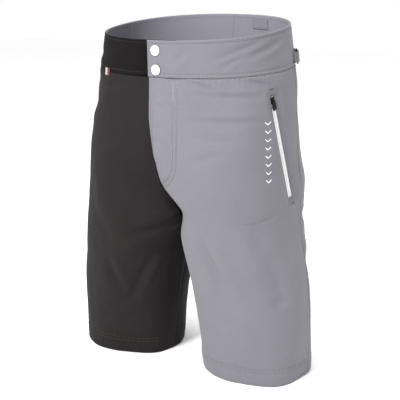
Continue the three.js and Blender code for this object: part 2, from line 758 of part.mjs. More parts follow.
// The cap's rounded border is a quarter of an ellipse from its side to its flat top.
const crown = [30, 60].map((angle) => {
  const around = THREE.MathUtils.degToRad(angle);
  return [
    SNAP_CAP_RADIUS - SNAP_CAP_CROWN * (1 - Math.cos(around)),
    capLow + SNAP_CAP_RIM + (SNAP_CAP_HEIGHT - SNAP_CAP_RIM) * Math.sin(around),
  ];
});
snapSeats.forEach((place, index) => {
  const name = index === 0 ? 'upper' : 'lower';
  add(
    `snap_cap_${name}`,
    turned(
      [
        [0, socketHigh + SNAP_SEAT],
        [SNAP_SHANK_RADIUS, socketHigh + SNAP_SEAT],
        [SNAP_SHANK_RADIUS, capLow],
        [SNAP_CAP_RADIUS, capLow],
        [SNAP_CAP_RADIUS, capLow + SNAP_CAP_RIM],
        ...crown,
        [0, capLow + SNAP_CAP_HEIGHT],
      ],
      place,
    ),
    whiteTrim(),
  );
  const bore = SNAP_STUD_RADIUS + SNAP_CLEARANCE;
  const flangeRadius = SNAP_SOCKET_RADIUS - SNAP_FLANGE_INSET;
  add(
    `snap_socket_${name}`,
    turned(
      [
        [bore, socketLow],
        [SNAP_SOCKET_RADIUS, socketLow],
        [SNAP_SOCKET_RADIUS, socketHigh],
        [bore, socketHigh],
        [bore, socketLow],
      ],
      place,
    ),
    metal(),
  );
  add(
    `snap_stud_${name}`,
    turned(
      [
        [0, postHigh + SNAP_SEAT],
        [SNAP_SHANK_RADIUS, postHigh + SNAP_SEAT],
        [SNAP_SHANK_RADIUS, studFlange],
        [flangeRadius, studFlange],
        [flangeRadius, studFlange + SNAP_FLANGE],
        [SNAP_STUD_RADIUS - SNAP_NECK, studFlange + SNAP_FLANGE],
        [SNAP_STUD_RADIUS, socketLow + LAYER_GAP],
        [SNAP_STUD_RADIUS - SNAP_TIP, socketHigh - SNAP_TIP],
        [0, socketHigh - SNAP_TIP],
      ],
      place,
    ),
    metal(),
  );
  add(
    `snap_post_${name}`,
    turned(
      [
        [0, postHigh - SNAP_POST],
        [SNAP_POST_RADIUS, postHigh - SNAP_POST],
        [SNAP_POST_RADIUS, postHigh],
        [0, postHigh],
      ],
      place,
    ),
    metal(),
  );
});

// ---------------------------------------------------------------- waist adjusters
/** A flat strip of even thickness along a path of [distance, level], standing over two heights. */
function ribbon(side, middle, path, thickness, low, high) {
  const corners = [];
  const offset = (i) => {
    const before = path[Math.max(i - 1, 0)];
    const after = path[Math.min(i + 1, path.length - 1)];
    const along = new THREE.Vector2(after[0] - before[0], after[1] - before[1]).normalize();
    return [-along.y * (thickness / 2), along.x * (thickness / 2)];
  };
  for (const height of [low, high]) {
    for (const face of [1, -1]) {
      path.forEach(([distance, level], i) => {
        const [sideways, out] = offset(i);
        const bearing = side * bearingAfter(middle, distance + face * sideways, height);
        corners.push(bandSkin(bearing, height, level + face * out));
      });
    }
  }
  const count = path.length;
  const at = (row, face, i) => (row * 2 + face) * count + i;
  const triangles = [];
  const quad = (a, b, c, d) => triangles.push([a, b, c], [a, c, d]);
  for (let i = 0; i < count - 1; i += 1) {
    quad(at(0, 0, i), at(0, 0, i + 1), at(1, 0, i + 1), at(1, 0, i));
    quad(at(0, 1, i), at(1, 1, i), at(1, 1, i + 1), at(0, 1, i + 1));
    quad(at(0, 0, i), at(0, 1, i), at(0, 1, i + 1), at(0, 0, i + 1));
    quad(at(1, 0, i), at(1, 0, i + 1), at(1, 1, i + 1), at(1, 1, i));
  }
  quad(at(0, 0, 0), at(1, 0, 0), at(1, 1, 0), at(0, 1, 0));
  quad(at(0, 0, count - 1), at(0, 1, count - 1), at(1, 1, count - 1), at(1, 0, count - 1));
  return body(corners, triangles);
}

const barWrap = RING_BAR * Math.SQRT2 + 2.5 * LAYER_GAP + STRAP_CLOTH / 2;
const underLevel = LAYER_GAP + STRAP_CLOTH / 2;
const barLevel = underLevel + barWrap;
const foldLevel = underLevel + STRAP_CLOTH + LAYER_GAP;
const tabLevel = foldLevel + HOOK_PATCH + LAYER_GAP;

/** Path of a strap round an upright ring bar: the upper layer, the bar, then the lower layer. */
function foldPath(barAt, direction, upper, lower) {
  const turn = steps(90, 270, 8).map((angle) => {
    const around = THREE.MathUtils.degToRad(angle);
    return [
      barAt + direction * barWrap * Math.cos(around),
      barLevel + barWrap * Math.sin(around),
    ];
  });
  const back = upper.map(([distance, level]) => [barAt + direction * distance, level]);
  const under = steps(0, lower, 6).slice(1).map((run) => [barAt + direction * run, underLevel]);
  return [...back, ...turn, ...under];
}

/** Rectangular ring lying on the waistband, its upright bars one in front of the other. */
function ringLoop(place) {
  const halfTall = STRAP_WIDTH / 2 + RING_SLACK + 2 * RING_BAR;
  const halfWide = RING_WIDTH / 2 + RING_BAR;
  const outline = new THREE.Shape();
  const rectangle = (path, wide, tall) => {
    path.moveTo(-wide, -tall);
    path.lineTo(wide, -tall);
    path.lineTo(wide, tall);
    path.lineTo(-wide, tall);
    path.closePath();
    return path;
  };
  rectangle(outline, halfWide, halfTall);
  outline.holes.push(
    rectangle(new THREE.Path(), halfWide - 2 * RING_BAR, halfTall - 2 * RING_BAR),
  );
  const ring = new THREE.ExtrudeGeometry(outline, { depth: 2 * RING_BAR, bevelEnabled: false });
  ring.translate(0, 0, -RING_BAR);
  ring.applyMatrix4(place);
  return ring;
}

const adjusterHeight = BAND_SEAM + ADJUSTER_RISE;
const strapLow = adjusterHeight - STRAP_WIDTH / 2;
const strapHigh = adjusterHeight + STRAP_WIDTH / 2;
for (const side of [1, -1]) {
  const name = side > 0 ? 'left' : 'right';
  const middle = bearingAfter(90.001, ADJUSTER_BEHIND, adjusterHeight);
  const cloth = side > 0 ? greyCloth : blackCloth;
  const barFront = -RING_WIDTH / 2;
  const barBack = RING_WIDTH / 2;
  const strip = (path, thickness) => ribbon(side, middle, path, thickness, strapLow, strapHigh);
  const wrapLevel = barLevel + barWrap;
  const tabEnd = barBack + STRAP_LENGTH;
  add(
    `adjuster_ring_${name}`,
    ringLoop(bandSeat(side * middle, adjusterHeight, barLevel)),
    blackPlastic(),
  );
  add(
    `adjuster_anchor_${name}`,
    strip(
      foldPath(
        barFront,
        -1,
        [
          [ANCHOR_LENGTH, foldLevel],
          [ANCHOR_LENGTH / 2, foldLevel + LAYER_GAP],
          [ANCHOR_TURN, wrapLevel - ANCHOR_DIP],
        ],
        ANCHOR_LENGTH,
      ),
      STRAP_CLOTH,
    ),
    cloth(),
  );
  add(
    `adjuster_strap_${name}`,
    strip(
      foldPath(barBack, 1, [[STRAP_TURN, wrapLevel - STRAP_DIP]], STRAP_LENGTH + STRAP_TAIL),
      STRAP_CLOTH,
    ),
    cloth(),
  );
  add(
    `adjuster_tab_${name}`,
    strip(
      [
        [barBack + TAB_TURN, wrapLevel - TAB_DIP],
        [barBack + TAB_SLOPE[0], tabLevel + TAB_RISE],
        ...steps(barBack + TAB_SLOPE[1], tabEnd, 5).map((run) => [run, tabLevel]),
      ],
      STRAP_CLOTH,
    ),
    cloth(),
  );
  add(
    `adjuster_hook_patch_${name}`,
    strip(
      steps(tabEnd - HOOK_FROM, tabEnd - HOOK_TO, 3).map((run) => [
        run,
        foldLevel + (HOOK_PATCH - STRAP_CLOTH) / 2,
      ]),
      HOOK_PATCH,
    ),
    blackCloth(),
  );
}

// ---------------------------------------------------------------- labels
/** Point on whichever cloth is outermost there: the panels, or the straight waistband. */
function clothSkin(bearing, height, level) {
  return (height > BAND_SEAM ? bandSkin : skin)(bearing, height, level);
}

add(
  'side_label',
  shell({
    from: (height) => bearingAfter(0, -SIDE_LABEL_FROM - SIDE_LABEL_WIDTH, height),
    to: (height) => bearingAfter(0, -SIDE_LABEL_FROM, height),
    heights: steps(BAND_SEAM - SIDE_LABEL_HALF, BAND_SEAM + SIDE_LABEL_HALF, 2),
    outer: LAYER_GAP + LABEL_CLOTH,
    inner: LAYER_GAP,
    columns: LABEL_COLUMNS,
    surface: clothSkin,
  }),
  finish(LABEL_RED, 0.8),
);
add(
  'back_label',
  shell({
    from: (height) => bearingAfter(180, -BACK_LABEL_FROM - BACK_LABEL_WIDTH, height),
    to: (height) => bearingAfter(180, -BACK_LABEL_FROM, height),
    heights: steps(RIM - BACK_LABEL_DROPS[1], RIM - BACK_LABEL_DROPS[0], 2),
    outer: facingInner - LAYER_GAP,
    inner: facingInner - LAYER_GAP - LABEL_CLOTH,
    columns: LABEL_COLUMNS,
    surface: clothSkin,
  }),
  finish(LABEL_GREY, 0.8),
);

export default shorts;
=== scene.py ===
"""Two-tone outdoor shorts in woven nylon, standing open as if worn.

The cloths follow one worn form, a stack of level sections. Each cloth is a fine grid laid on that
form, with folds, seams and stitching shaped into it. Trims sit where the frame's joints and
nodes say. Metres, +Z up, front towards -Y, wearer's left towards +X.
"""
import json
import logging
import math
from collections.abc import Callable, Iterable, Sequence
from dataclasses import dataclass, field
from enum import Enum

import bmesh
import bpy
import numpy as np
from mathutils import Matrix, Vector, noise
from mathutils.bvhtree import BVHTree


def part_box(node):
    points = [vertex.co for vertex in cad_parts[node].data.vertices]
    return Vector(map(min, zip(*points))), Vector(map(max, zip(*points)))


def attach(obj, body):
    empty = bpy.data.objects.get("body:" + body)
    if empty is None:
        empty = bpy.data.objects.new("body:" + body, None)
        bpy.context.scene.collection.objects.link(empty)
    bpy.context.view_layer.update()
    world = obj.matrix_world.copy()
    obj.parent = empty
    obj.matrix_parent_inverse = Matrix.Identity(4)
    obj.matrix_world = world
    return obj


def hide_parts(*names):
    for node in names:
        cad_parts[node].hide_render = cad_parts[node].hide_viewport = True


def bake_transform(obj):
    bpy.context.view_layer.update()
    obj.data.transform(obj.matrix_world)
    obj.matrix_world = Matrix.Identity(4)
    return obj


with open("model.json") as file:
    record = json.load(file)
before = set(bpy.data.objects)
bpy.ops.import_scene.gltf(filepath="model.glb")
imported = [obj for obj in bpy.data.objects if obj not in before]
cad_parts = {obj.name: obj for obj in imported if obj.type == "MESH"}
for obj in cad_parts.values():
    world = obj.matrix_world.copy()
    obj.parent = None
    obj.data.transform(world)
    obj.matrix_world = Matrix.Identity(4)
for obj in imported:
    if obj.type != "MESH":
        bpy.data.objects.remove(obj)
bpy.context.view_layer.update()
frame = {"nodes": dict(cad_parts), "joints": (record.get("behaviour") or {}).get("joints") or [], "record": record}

log = logging.getLogger("shorts")

MM = 0.001
FLAT_ANGLE = 3.0  # degrees under which two CAD faces count as one
SHARP_ANGLE = 28.0  # degrees over which a CAD edge is rounded


class Side(Enum):
    """The wearer's left or right; the value is the sign of X."""

    LEFT = 1
    RIGHT = -1

    @property
    def word(self) -> str:
        """Lower-case word used in names."""
        return self.name.lower()


class Half(Enum):
    """Front or back of one side."""

    FRONT = 0
    BACK = 1

    @property
    def word(self) -> str:
        """Lower-case word used in names."""
        return self.name.lower()

    @property
    def span(self) -> tuple[float, float]:
        """First and last bearing of its quarter, in degrees."""
        return 90.0 * self.value, 90.0 * self.value + 90.0


# ------------------------------------------------------------------ the worn form
@dataclass(frozen=True)
class Section:
    """Level section of one leg's half of the body, in millimetres."""

    height: float
    axis: float
    outer: float
    inner: float
    middle: float
    front: float
    back: float


@dataclass
class WornForm:
    """Surface that the cloths lie on, addressed by bearing and height.

    A bearing runs 0 at the middle front, 90 at the side seam and 180 at the middle back, as a
    share of the cloth's real length in each quarter. A negative bearing passes the middle front.
    """

    inseam: float = 262.0
    crotch_curve: float = 48.0
    hip: float = 358.0
    band_seam: float = 482.0
    rim: float = 541.0
    rim_tilt: float = 15.0
    tilt_from: float = 325.0
    mean_depth: float = 117.5
    power: float = 2.25
    side_angle: float = 12.0
    seam_bend: float = 26.0
    bend_middle: tuple[float, float, float] = (0.0, -100.0, 259.0)
    bend_reach: tuple[float, float, float] = (62.0, 62.0, 30.0)
    height_step: float = 0.5
    shares: int = 161
    sections: tuple[Section, ...] = (
        Section(0, 127, 75, 91, -12, 69, 89),
        Section(131, 106, 99, 87, -8, 81, 79),
        Section(262, 79, 102.5, 93.5, -3, 111, 115),
        Section(358, 41, 133, 90, -4, 118, 127),
        Section(482, 5, 159, 60, 2.5, 110, 113),
        Section(541, 0, 152, 59, 4, 113, 122),
    )
    table: np.ndarray = field(init=False, repr=False)
    lengths: np.ndarray = field(init=False, repr=False)

    def __post_init__(self) -> None:
        """Samples every level section once."""
        heights = np.arange(0, self.rim + self.height_step, self.height_step)
        self.table = np.zeros((len(heights), 2, self.shares, 2))
        self.lengths = np.zeros((len(heights), 2))
        for row, values in enumerate(self._sizes(heights)):
            for half in Half:
                points = self._quarter(float(heights[row]), values, half)
                runs = np.concatenate(
                    [[0.0], np.cumsum(np.linalg.norm(np.diff(points, axis=0), axis=1))]
                )
                wanted = np.linspace(0, runs[-1], self.shares)
                for axis in range(2):
                    self.table[row, half.value, :, axis] = np.interp(
                        wanted, runs, points[:, axis]
                    )
                self.lengths[row, half.value] = runs[-1]

    def _sizes(self, heights: np.ndarray) -> np.ndarray:
        """Section sizes at each height, on a smooth curve through the named sections.

        Args:
            heights: Heights in millimetres.

        Returns:
            One row of axis, outer, inner, middle, front and back for each height.
        """
        knots = np.array([s.height for s in self.sections], float)
        values = np.array(
            [[s.axis, s.outer, s.inner, s.middle, s.front, s.back] for s in self.sections]
        )
        secants = np.diff(values, axis=0) / np.diff(knots)[:, None]
        slopes = np.vstack([secants[:1], (secants[1:] + secants[:-1]) / 2, secants[-1:]])
        at = np.clip(heights, knots[0], knots[-1])
        i = np.clip(np.searchsorted(knots, at, side="right") - 1, 0, len(knots) - 2)
        span = knots[i + 1] - knots[i]
        t = ((at - knots[i]) / span)[:, None]
        span = span[:, None]
        return (
            (2 * t**3 - 3 * t**2 + 1) * values[i]
            + (t**3 - 2 * t**2 + t) * span * slopes[i]
            + (3 * t**2 - 2 * t**3) * values[i + 1]
            + (t**3 - t**2) * span * slopes[i + 1]
        )

    def _quarter(self, height: float, values: np.ndarray, half: Half) -> np.ndarray:
        """Points of one quarter of a level section, from the middle to the side seam.

        Args:
            height: Height in millimetres.
            values: Section sizes at that height.
            half: Front or back.

        Returns:
            Points in X and Y.
        """
        axis, outer, inner, middle, front, back = values
        reach = min(1.0, max(0.0, axis / inner))
        start = math.acos(-(reach ** (self.power / 2)))
        side = math.radians(self.side_angle)
        first = -start if half is Half.FRONT else start
        angles = np.linspace(first, side, 241)
        c, s = np.cos(angles), np.sin(angles)
        x = axis + np.where(c > 0, outer, inner) * np.sign(c) * np.abs(c) ** (2 / self.power)
        y = middle + np.where(s < 0, front, back) * np.sign(s) * np.abs(s) ** (2 / self.power)
        points = np.column_stack([x, y])
        turn = min(1.0, max(0.0, (self.inseam + self.crotch_curve - height) / self.crotch_curve))
        opened = math.sqrt(1 - turn * turn)
        if reach < 1 and opened < 1:
            near = middle + (points[0, 1] - middle) * opened
            wall = np.column_stack([np.zeros(24), np.linspace(near, points[0, 1], 25)[:-1]])
            points = np.vstack([wall, points])
        return points

    def base(self, bearing: np.ndarray, height: np.ndarray, side: Side) -> np.ndarray:
        """Points of the form itself, in millimetres.

        Args:
            bearing: Bearings in degrees, counted towards the side.
            height: Heights in millimetres.
            side: Which side the bearings run to.

        Returns:
            Points, one row each.
        """
        bearing, height = np.broadcast_arrays(
            np.asarray(bearing, float), np.asarray(height, float)
        )
        turn = np.abs(bearing)
        half = (turn > 90).astype(int)
        share = np.clip(np.where(half == 0, turn / 90, (180 - turn) / 90), 0, 1)
        row = np.clip(height / self.height_step, 0, len(self.table) - 1.001)
        low = row.astype(int)
        up = (row - low)[..., None]
        column = share * (self.shares - 1)
        left = np.minimum(column.astype(int), self.shares - 2)
        along = (column - left)[..., None]
        t = self.table
        flat = (1 - up) * (
            (1 - along) * t[low, half, left] + along * t[low, half, left + 1]
        ) + up * ((1 - along) * t[low + 1, half, left] + along * t[low + 1, half, left + 1])
        lift = np.clip((height - self.tilt_from) / (self.rim - self.tilt_from), 0, 1)
        x = flat[..., 0] * side.value * np.where(bearing < 0, -1, 1)
        z = height + self.rim_tilt * lift * flat[..., 1] / self.mean_depth
        return np.stack([x, flat[..., 1], z], axis=-1)

    def skin(
        self, bearing: np.ndarray, height: np.ndarray, side: Side, level: np.ndarray | float = 0.0
    ) -> np.ndarray:
        """Points at a level out of (+) or into (-) the form, in millimetres.

        Args:
            bearing: Bearings in degrees.
            height: Heights in millimetres.
            side: Which side the bearings run to.
            level: Distance from the form along its normal.

        Returns:
            Points, one row each.
        """
        bearing, height = np.broadcast_arrays(
            np.asarray(bearing, float), np.asarray(height, float)
        )
        closed = self.inseam + self.crotch_curve
        lowest = np.where(height > closed, -60.0, 0.0)
        before = np.maximum(bearing - 0.8, lowest)
        after = np.minimum(bearing + 0.8, 180.0)
        across = self.base(after, height, side) - self.base(before, height, side)
        rise = self.base(bearing, np.minimum(height + 2, self.rim), side) - self.base(
            bearing, np.maximum(height - 2, 0), side
        )
        out = np.cross(across, rise) * side.value
        out /= np.maximum(np.linalg.norm(out, axis=-1, keepdims=True), 1e-9)
        level = np.broadcast_to(np.asarray(level, float), bearing.shape)[..., None]
        points = self.base(bearing, height, side) + out * level
        points[..., 0] += self.bend(points)
        return points

    def bend(self, points: np.ndarray) -> np.ndarray:
        """Sideways shift of the middle seam over the crotch, in millimetres."""
        away = (points - np.array(self.bend_middle)) / np.array(self.bend_reach)
        return self.seam_bend * np.exp(-(away**2).sum(axis=-1))

    def quarter_length(self, height: np.ndarray, half: Half) -> np.ndarray:
        """Real length of a quarter of the level section, in millimetres."""
        rows = np.asarray(height, float) / self.height_step
        return np.interp(rows, np.arange(len(self.lengths)), self.lengths[:, half.value])

    def arc(self, bearing: np.ndarray, height: np.ndarray) -> np.ndarray:
        """Distance along the level section from the middle front.

        Args:
            bearing: Bearings in degrees.
            height: Heights in millimetres.

        Returns:
            Distances in millimetres.
        """
        bearing = np.asarray(bearing, float)
        front = self.quarter_length(height, Half.FRONT)
        back = self.quarter_length(height, Half.BACK)
        return np.where(bearing <= 90, bearing / 90 * front, front + (bearing - 90) / 90 * back)

    def bearing_of_arc(self, arc: float, height: float) -> float:
        """Bearing at a distance along the level section from the middle front.

        Args:
            arc: Distance in millimetres.
            height: Height in millimetres.

        Returns:
            The bearing in degrees.
        """
        front = float(self.quarter_length(height, Half.FRONT))
        if arc <= front:
            return arc / front * 90
        return 90 + (arc - front) / float(self.quarter_length(height, Half.BACK)) * 90

    def bearing_at_x(self, x: float, height: np.ndarray) -> np.ndarray:
        """Bearing of a point of the front that lies a given way from the middle.

        Args:
            x: Its X in millimetres.
            height: Heights in millimetres.

        Returns:
            A bearing for each height.
        """
        rows = np.clip(np.atleast_1d(height) / self.height_step, 0, len(self.table) - 1)
        shares = np.linspace(0, 1, self.shares)
        found = [np.interp(abs(x), self.table[int(r), 0, :, 0], shares) for r in rows]
        return math.copysign(90, x) * np.array(found)

    def band(
        self, bearing: np.ndarray, height: np.ndarray, side: Side, level: np.ndarray
    ) -> np.ndarray:
        """Points of the waistband, whose cloth runs straight from its seam to the rim.

        Args:
            bearing: Bearings in degrees.
            height: Heights in millimetres.
            side: Which side the bearings run to.
            level: Distance from the form along its normal.

        Returns:
            Points, one row each.
        """
        share = (np.asarray(height, float) - self.band_seam) / (self.rim - self.band_seam)
        share = share[..., None]
        low = self.skin(bearing, np.full_like(height, self.band_seam), side, level)
        high = self.skin(bearing, np.full_like(height, self.rim), side, level)
        return low + (high - low) * share


FORM = WornForm()
FLAP_FOOT = 345.0  # height above which the opening flap carries the front's cloth


def smooth(value: np.ndarray | float) -> np.ndarray:
    """Eased step from 0 to 1."""
    t = np.clip(value, 0, 1)
    return t * t * (3 - 2 * t)


# ------------------------------------------------------------------ folds
@dataclass(frozen=True)
class Crease:
    """Fold between two places, each a signed distance from the middle front and a height."""

    start: tuple[float, float]
    end: tuple[float, float]
    depth: float
    width: float

    def level(self, arc: np.ndarray, height: np.ndarray) -> np.ndarray:
        """Rise of the cloth at each place.

        Args:
            arc: Distances from the middle front, in millimetres.
            height: Heights in millimetres.

        Returns:
            A rise in millimetres for each place.
        """
        along = np.subtract(self.end, self.start)
        length = float(np.hypot(*along))
        unit = along / length
        x, y = arc - self.start[0], height - self.start[1]
        t = (x * unit[0] + y * unit[1]) / length
        off = (y * unit[0] - x * unit[1]) / self.width
        fade = np.sin(np.pi * np.clip(t, 0, 1)) ** 1.3
        return self.depth * fade * (np.exp(-(off**2)) - 0.55 * np.exp(-((off - 1.9) ** 2)))


@dataclass(frozen=True)
class Groove:
    """Line that stitching pulls into the cloth, through places of distance and height."""

    places: tuple[tuple[float, float], ...]
    depth: float = 1.25
    width: float = 1.15
    pucker: float = 0.3
    pucker_pitch: float = 7.0

    def level(self, arc: np.ndarray, height: np.ndarray) -> np.ndarray:
        """Rise of the cloth at each place.

        Args:
            arc: Distances from the middle front, in millimetres.
            height: Heights in millimetres.

        Returns:
            A rise in millimetres for each place.
        """
        best = np.full(arc.shape, 1e9)
        run_at = np.zeros(arc.shape)
        run = 0.0
        for a, b in zip(self.places[:-1], self.places[1:]):
            d = np.subtract(b, a)
            length = float(np.hypot(*d))
            t = np.clip(((arc - a[0]) * d[0] + (height - a[1]) * d[1]) / length**2, 0, 1)
            away = np.hypot(arc - a[0] - t * d[0], height - a[1] - t * d[1])
            nearer = away < best
            best = np.where(nearer, away, best)
            run_at = np.where(nearer, run + t * length, run_at)
            run += length
        ripple = np.sin(2 * np.pi * run_at / self.pucker_pitch + 2.2 * np.sin(run_at / 17))
        return -self.depth * np.exp(-((best / self.width) ** 2)) + self.pucker * ripple * np.exp(
            -((best / (3.2 * self.width)) ** 2)
        )


def undulation(points: np.ndarray, amplitude: float, seed: float) -> np.ndarray:
    """Soft uneven rise of the cloth, the same each time.

    Args:
        points: Places in millimetres.
        amplitude: Largest rise in millimetres.
        seed: Shifts the pattern.

    Returns:
        A rise for each place.
    """
    flat = points.reshape(-1, 3)
    rise = [
        noise.noise(Vector((p[0] / 55 + seed, p[1] / 55, p[2] / 90)))
        + 0.35 * noise.noise(Vector((p[0] / 22, p[1] / 22 + seed, p[2] / 34)))
        for p in flat
    ]
    return amplitude * np.array(rise).reshape(points.shape[:-1])


# ------------------------------------------------------------------ finishes
class Graph:
    """Small helper for wiring a material's nodes."""

    def __init__(self, name: str) -> None:
        """Starts a material with its shader and output."""
        self.material = bpy.data.materials.new(name)
        self.material.use_nodes = True
        self.tree = self.material.node_tree
        self.shader = self.tree.nodes["Principled BSDF"]

    def node(self, kind: str, **settings: object) -> bpy.types.Node:
        """Adds a node and sets its attributes.

        Args:
            kind: Type of the node.
            **settings: Attributes to set.

        Returns:
            The node.
        """
        made = self.tree.nodes.new(kind)
        for key, value in settings.items():
            setattr(made, key, value)
        return made

    def link(self, source: bpy.types.NodeSocket, target: bpy.types.NodeSocket) -> None:
        """Joins two sockets."""
        self.tree.links.new(source, target)

    def math(self, operation: str, first: object, second: object = None) -> bpy.types.NodeSocket:
        """Adds a Math node.

        Args:
            operation: What it computes.
            first: Number or socket.
            second: Number or socket, where it takes two.

        Returns:
            Its output.
        """
        made = self.node("ShaderNodeMath", operation=operation)
        for socket, operand in zip(made.inputs, (first, second)):
            if operand is None:
                continue
            if isinstance(operand, bpy.types.NodeSocket):
                self.link(operand, socket)
            else:
                socket.default_value = operand
        return made.outputs[0]


@dataclass(frozen=True)
class Fabric:
    """Plain-woven cloth."""

    name: str
    colour: tuple[float, float, float]
    shade: float = 0.86
    yarn: float = 0.00062
    rib: bool = False
    roughness: float = 0.78
    specular: float = 0.3
    sheen: float = 0.1
    relief: float = 0.00009

    def material(self) -> bpy.types.Material:
        """Builds the weave, its bump and the cloth's uneven colour.

        Returns:
            The material.
        """
        g = Graph(self.name)
        uv = g.node("ShaderNodeUVMap", uv_map="cloth")
        split = g.node("ShaderNodeSeparateXYZ")
        g.link(uv.outputs[0], split.inputs[0])
        wave = 2 * math.pi / self.yarn
        over = g.math("SINE", g.math("MULTIPLY", split.outputs[0], wave))
        along = wave / 3 if self.rib else wave
        under = g.math("SINE", g.math("MULTIPLY", split.outputs[1], along))
        weave = g.math("ADD", over, under) if self.rib else g.math("MULTIPLY", over, under)
        place = g.node("ShaderNodeTexCoord")
        slub = g.node("ShaderNodeTexNoise")
        slub.inputs["Scale"].default_value = 420
        slub.inputs["Detail"].default_value = 3
        g.link(place.outputs["Object"], slub.inputs["Vector"])
        height = g.math("ADD", g.math("MULTIPLY", weave, 0.35), slub.outputs["Fac"])
        bump = g.node("ShaderNodeBump")
        bump.inputs["Strength"].default_value = 0.5
        bump.inputs["Distance"].default_value = self.relief
        g.link(height, bump.inputs["Height"])
        g.link(bump.outputs[0], g.shader.inputs["Normal"])
        cloud = g.node("ShaderNodeTexNoise")
        cloud.inputs["Scale"].default_value = 14
        cloud.inputs["Detail"].default_value = 5
        g.link(place.outputs["Object"], cloud.inputs["Vector"])
        tone = g.math("ADD", g.math("MULTIPLY", cloud.outputs["Fac"], 0.45),
                      g.math("MULTIPLY", slub.outputs["Fac"], 0.55))
        tone = g.math("ADD", tone, g.math("MULTIPLY", weave, 0.05))
        ramp = g.node("ShaderNodeValToRGB")
        dark = tuple(c * self.shade for c in self.colour)
        light = tuple(min(1.0, c * (2 - self.shade)) for c in self.colour)
        ramp.color_ramp.elements[0].position = 0.35
        ramp.color_ramp.elements[0].color = (*dark, 1)
        ramp.color_ramp.elements[1].position = 0.65
        ramp.color_ramp.elements[1].color = (*light, 1)
        g.link(tone, ramp.inputs[0])
        g.link(ramp.outputs[0], g.shader.inputs["Base Color"])
        g.shader.inputs["Roughness"].default_value = self.roughness
        g.shader.inputs["Specular IOR Level"].default_value = self.specular
        g.shader.inputs["Sheen Weight"].default_value = self.sheen
        g.shader.inputs["Sheen Roughness"].default_value = 0.5
        return g.material


@dataclass(frozen=True)
class Solid:
    """Moulded plastic, enamel, thread or plated metal."""

    name: str
    colour: tuple[float, float, float]
    roughness: float = 0.4
    metallic: float = 0.0
    grain: float = 0.00002
    grain_scale: float = 900.0
    spread: float = 0.08
    specular: float = 0.5

    def material(self) -> bpy.types.Material:
        """Builds a finish with a fine grain and slightly worn tone.

        Returns:
            The material.
        """
        g = Graph(self.name)
        place = g.node("ShaderNodeTexCoord")
        speck = g.node("ShaderNodeTexNoise")
        speck.inputs["Scale"].default_value = self.grain_scale
        speck.inputs["Detail"].default_value = 3
        g.link(place.outputs["Object"], speck.inputs["Vector"])
        ramp = g.node("ShaderNodeValToRGB")
        ramp.color_ramp.elements[0].color = (*(c * (1 - self.spread) for c in self.colour), 1)
        ramp.color_ramp.elements[1].color = (
            *(min(1.0, c * (1 + self.spread)) for c in self.colour), 1)
        g.link(speck.outputs["Fac"], ramp.inputs[0])
        g.link(ramp.outputs[0], g.shader.inputs["Base Color"])
        bump = g.node("ShaderNodeBump")
        bump.inputs["Strength"].default_value = 0.4
        bump.inputs["Distance"].default_value = self.grain
        g.link(speck.outputs["Fac"], bump.inputs["Height"])
        g.link(bump.outputs[0], g.shader.inputs["Normal"])
        g.shader.inputs["Roughness"].default_value = self.roughness
        g.shader.inputs["Metallic"].default_value = self.metallic
        g.shader.inputs["Specular IOR Level"].default_value = self.specular
        return g.material


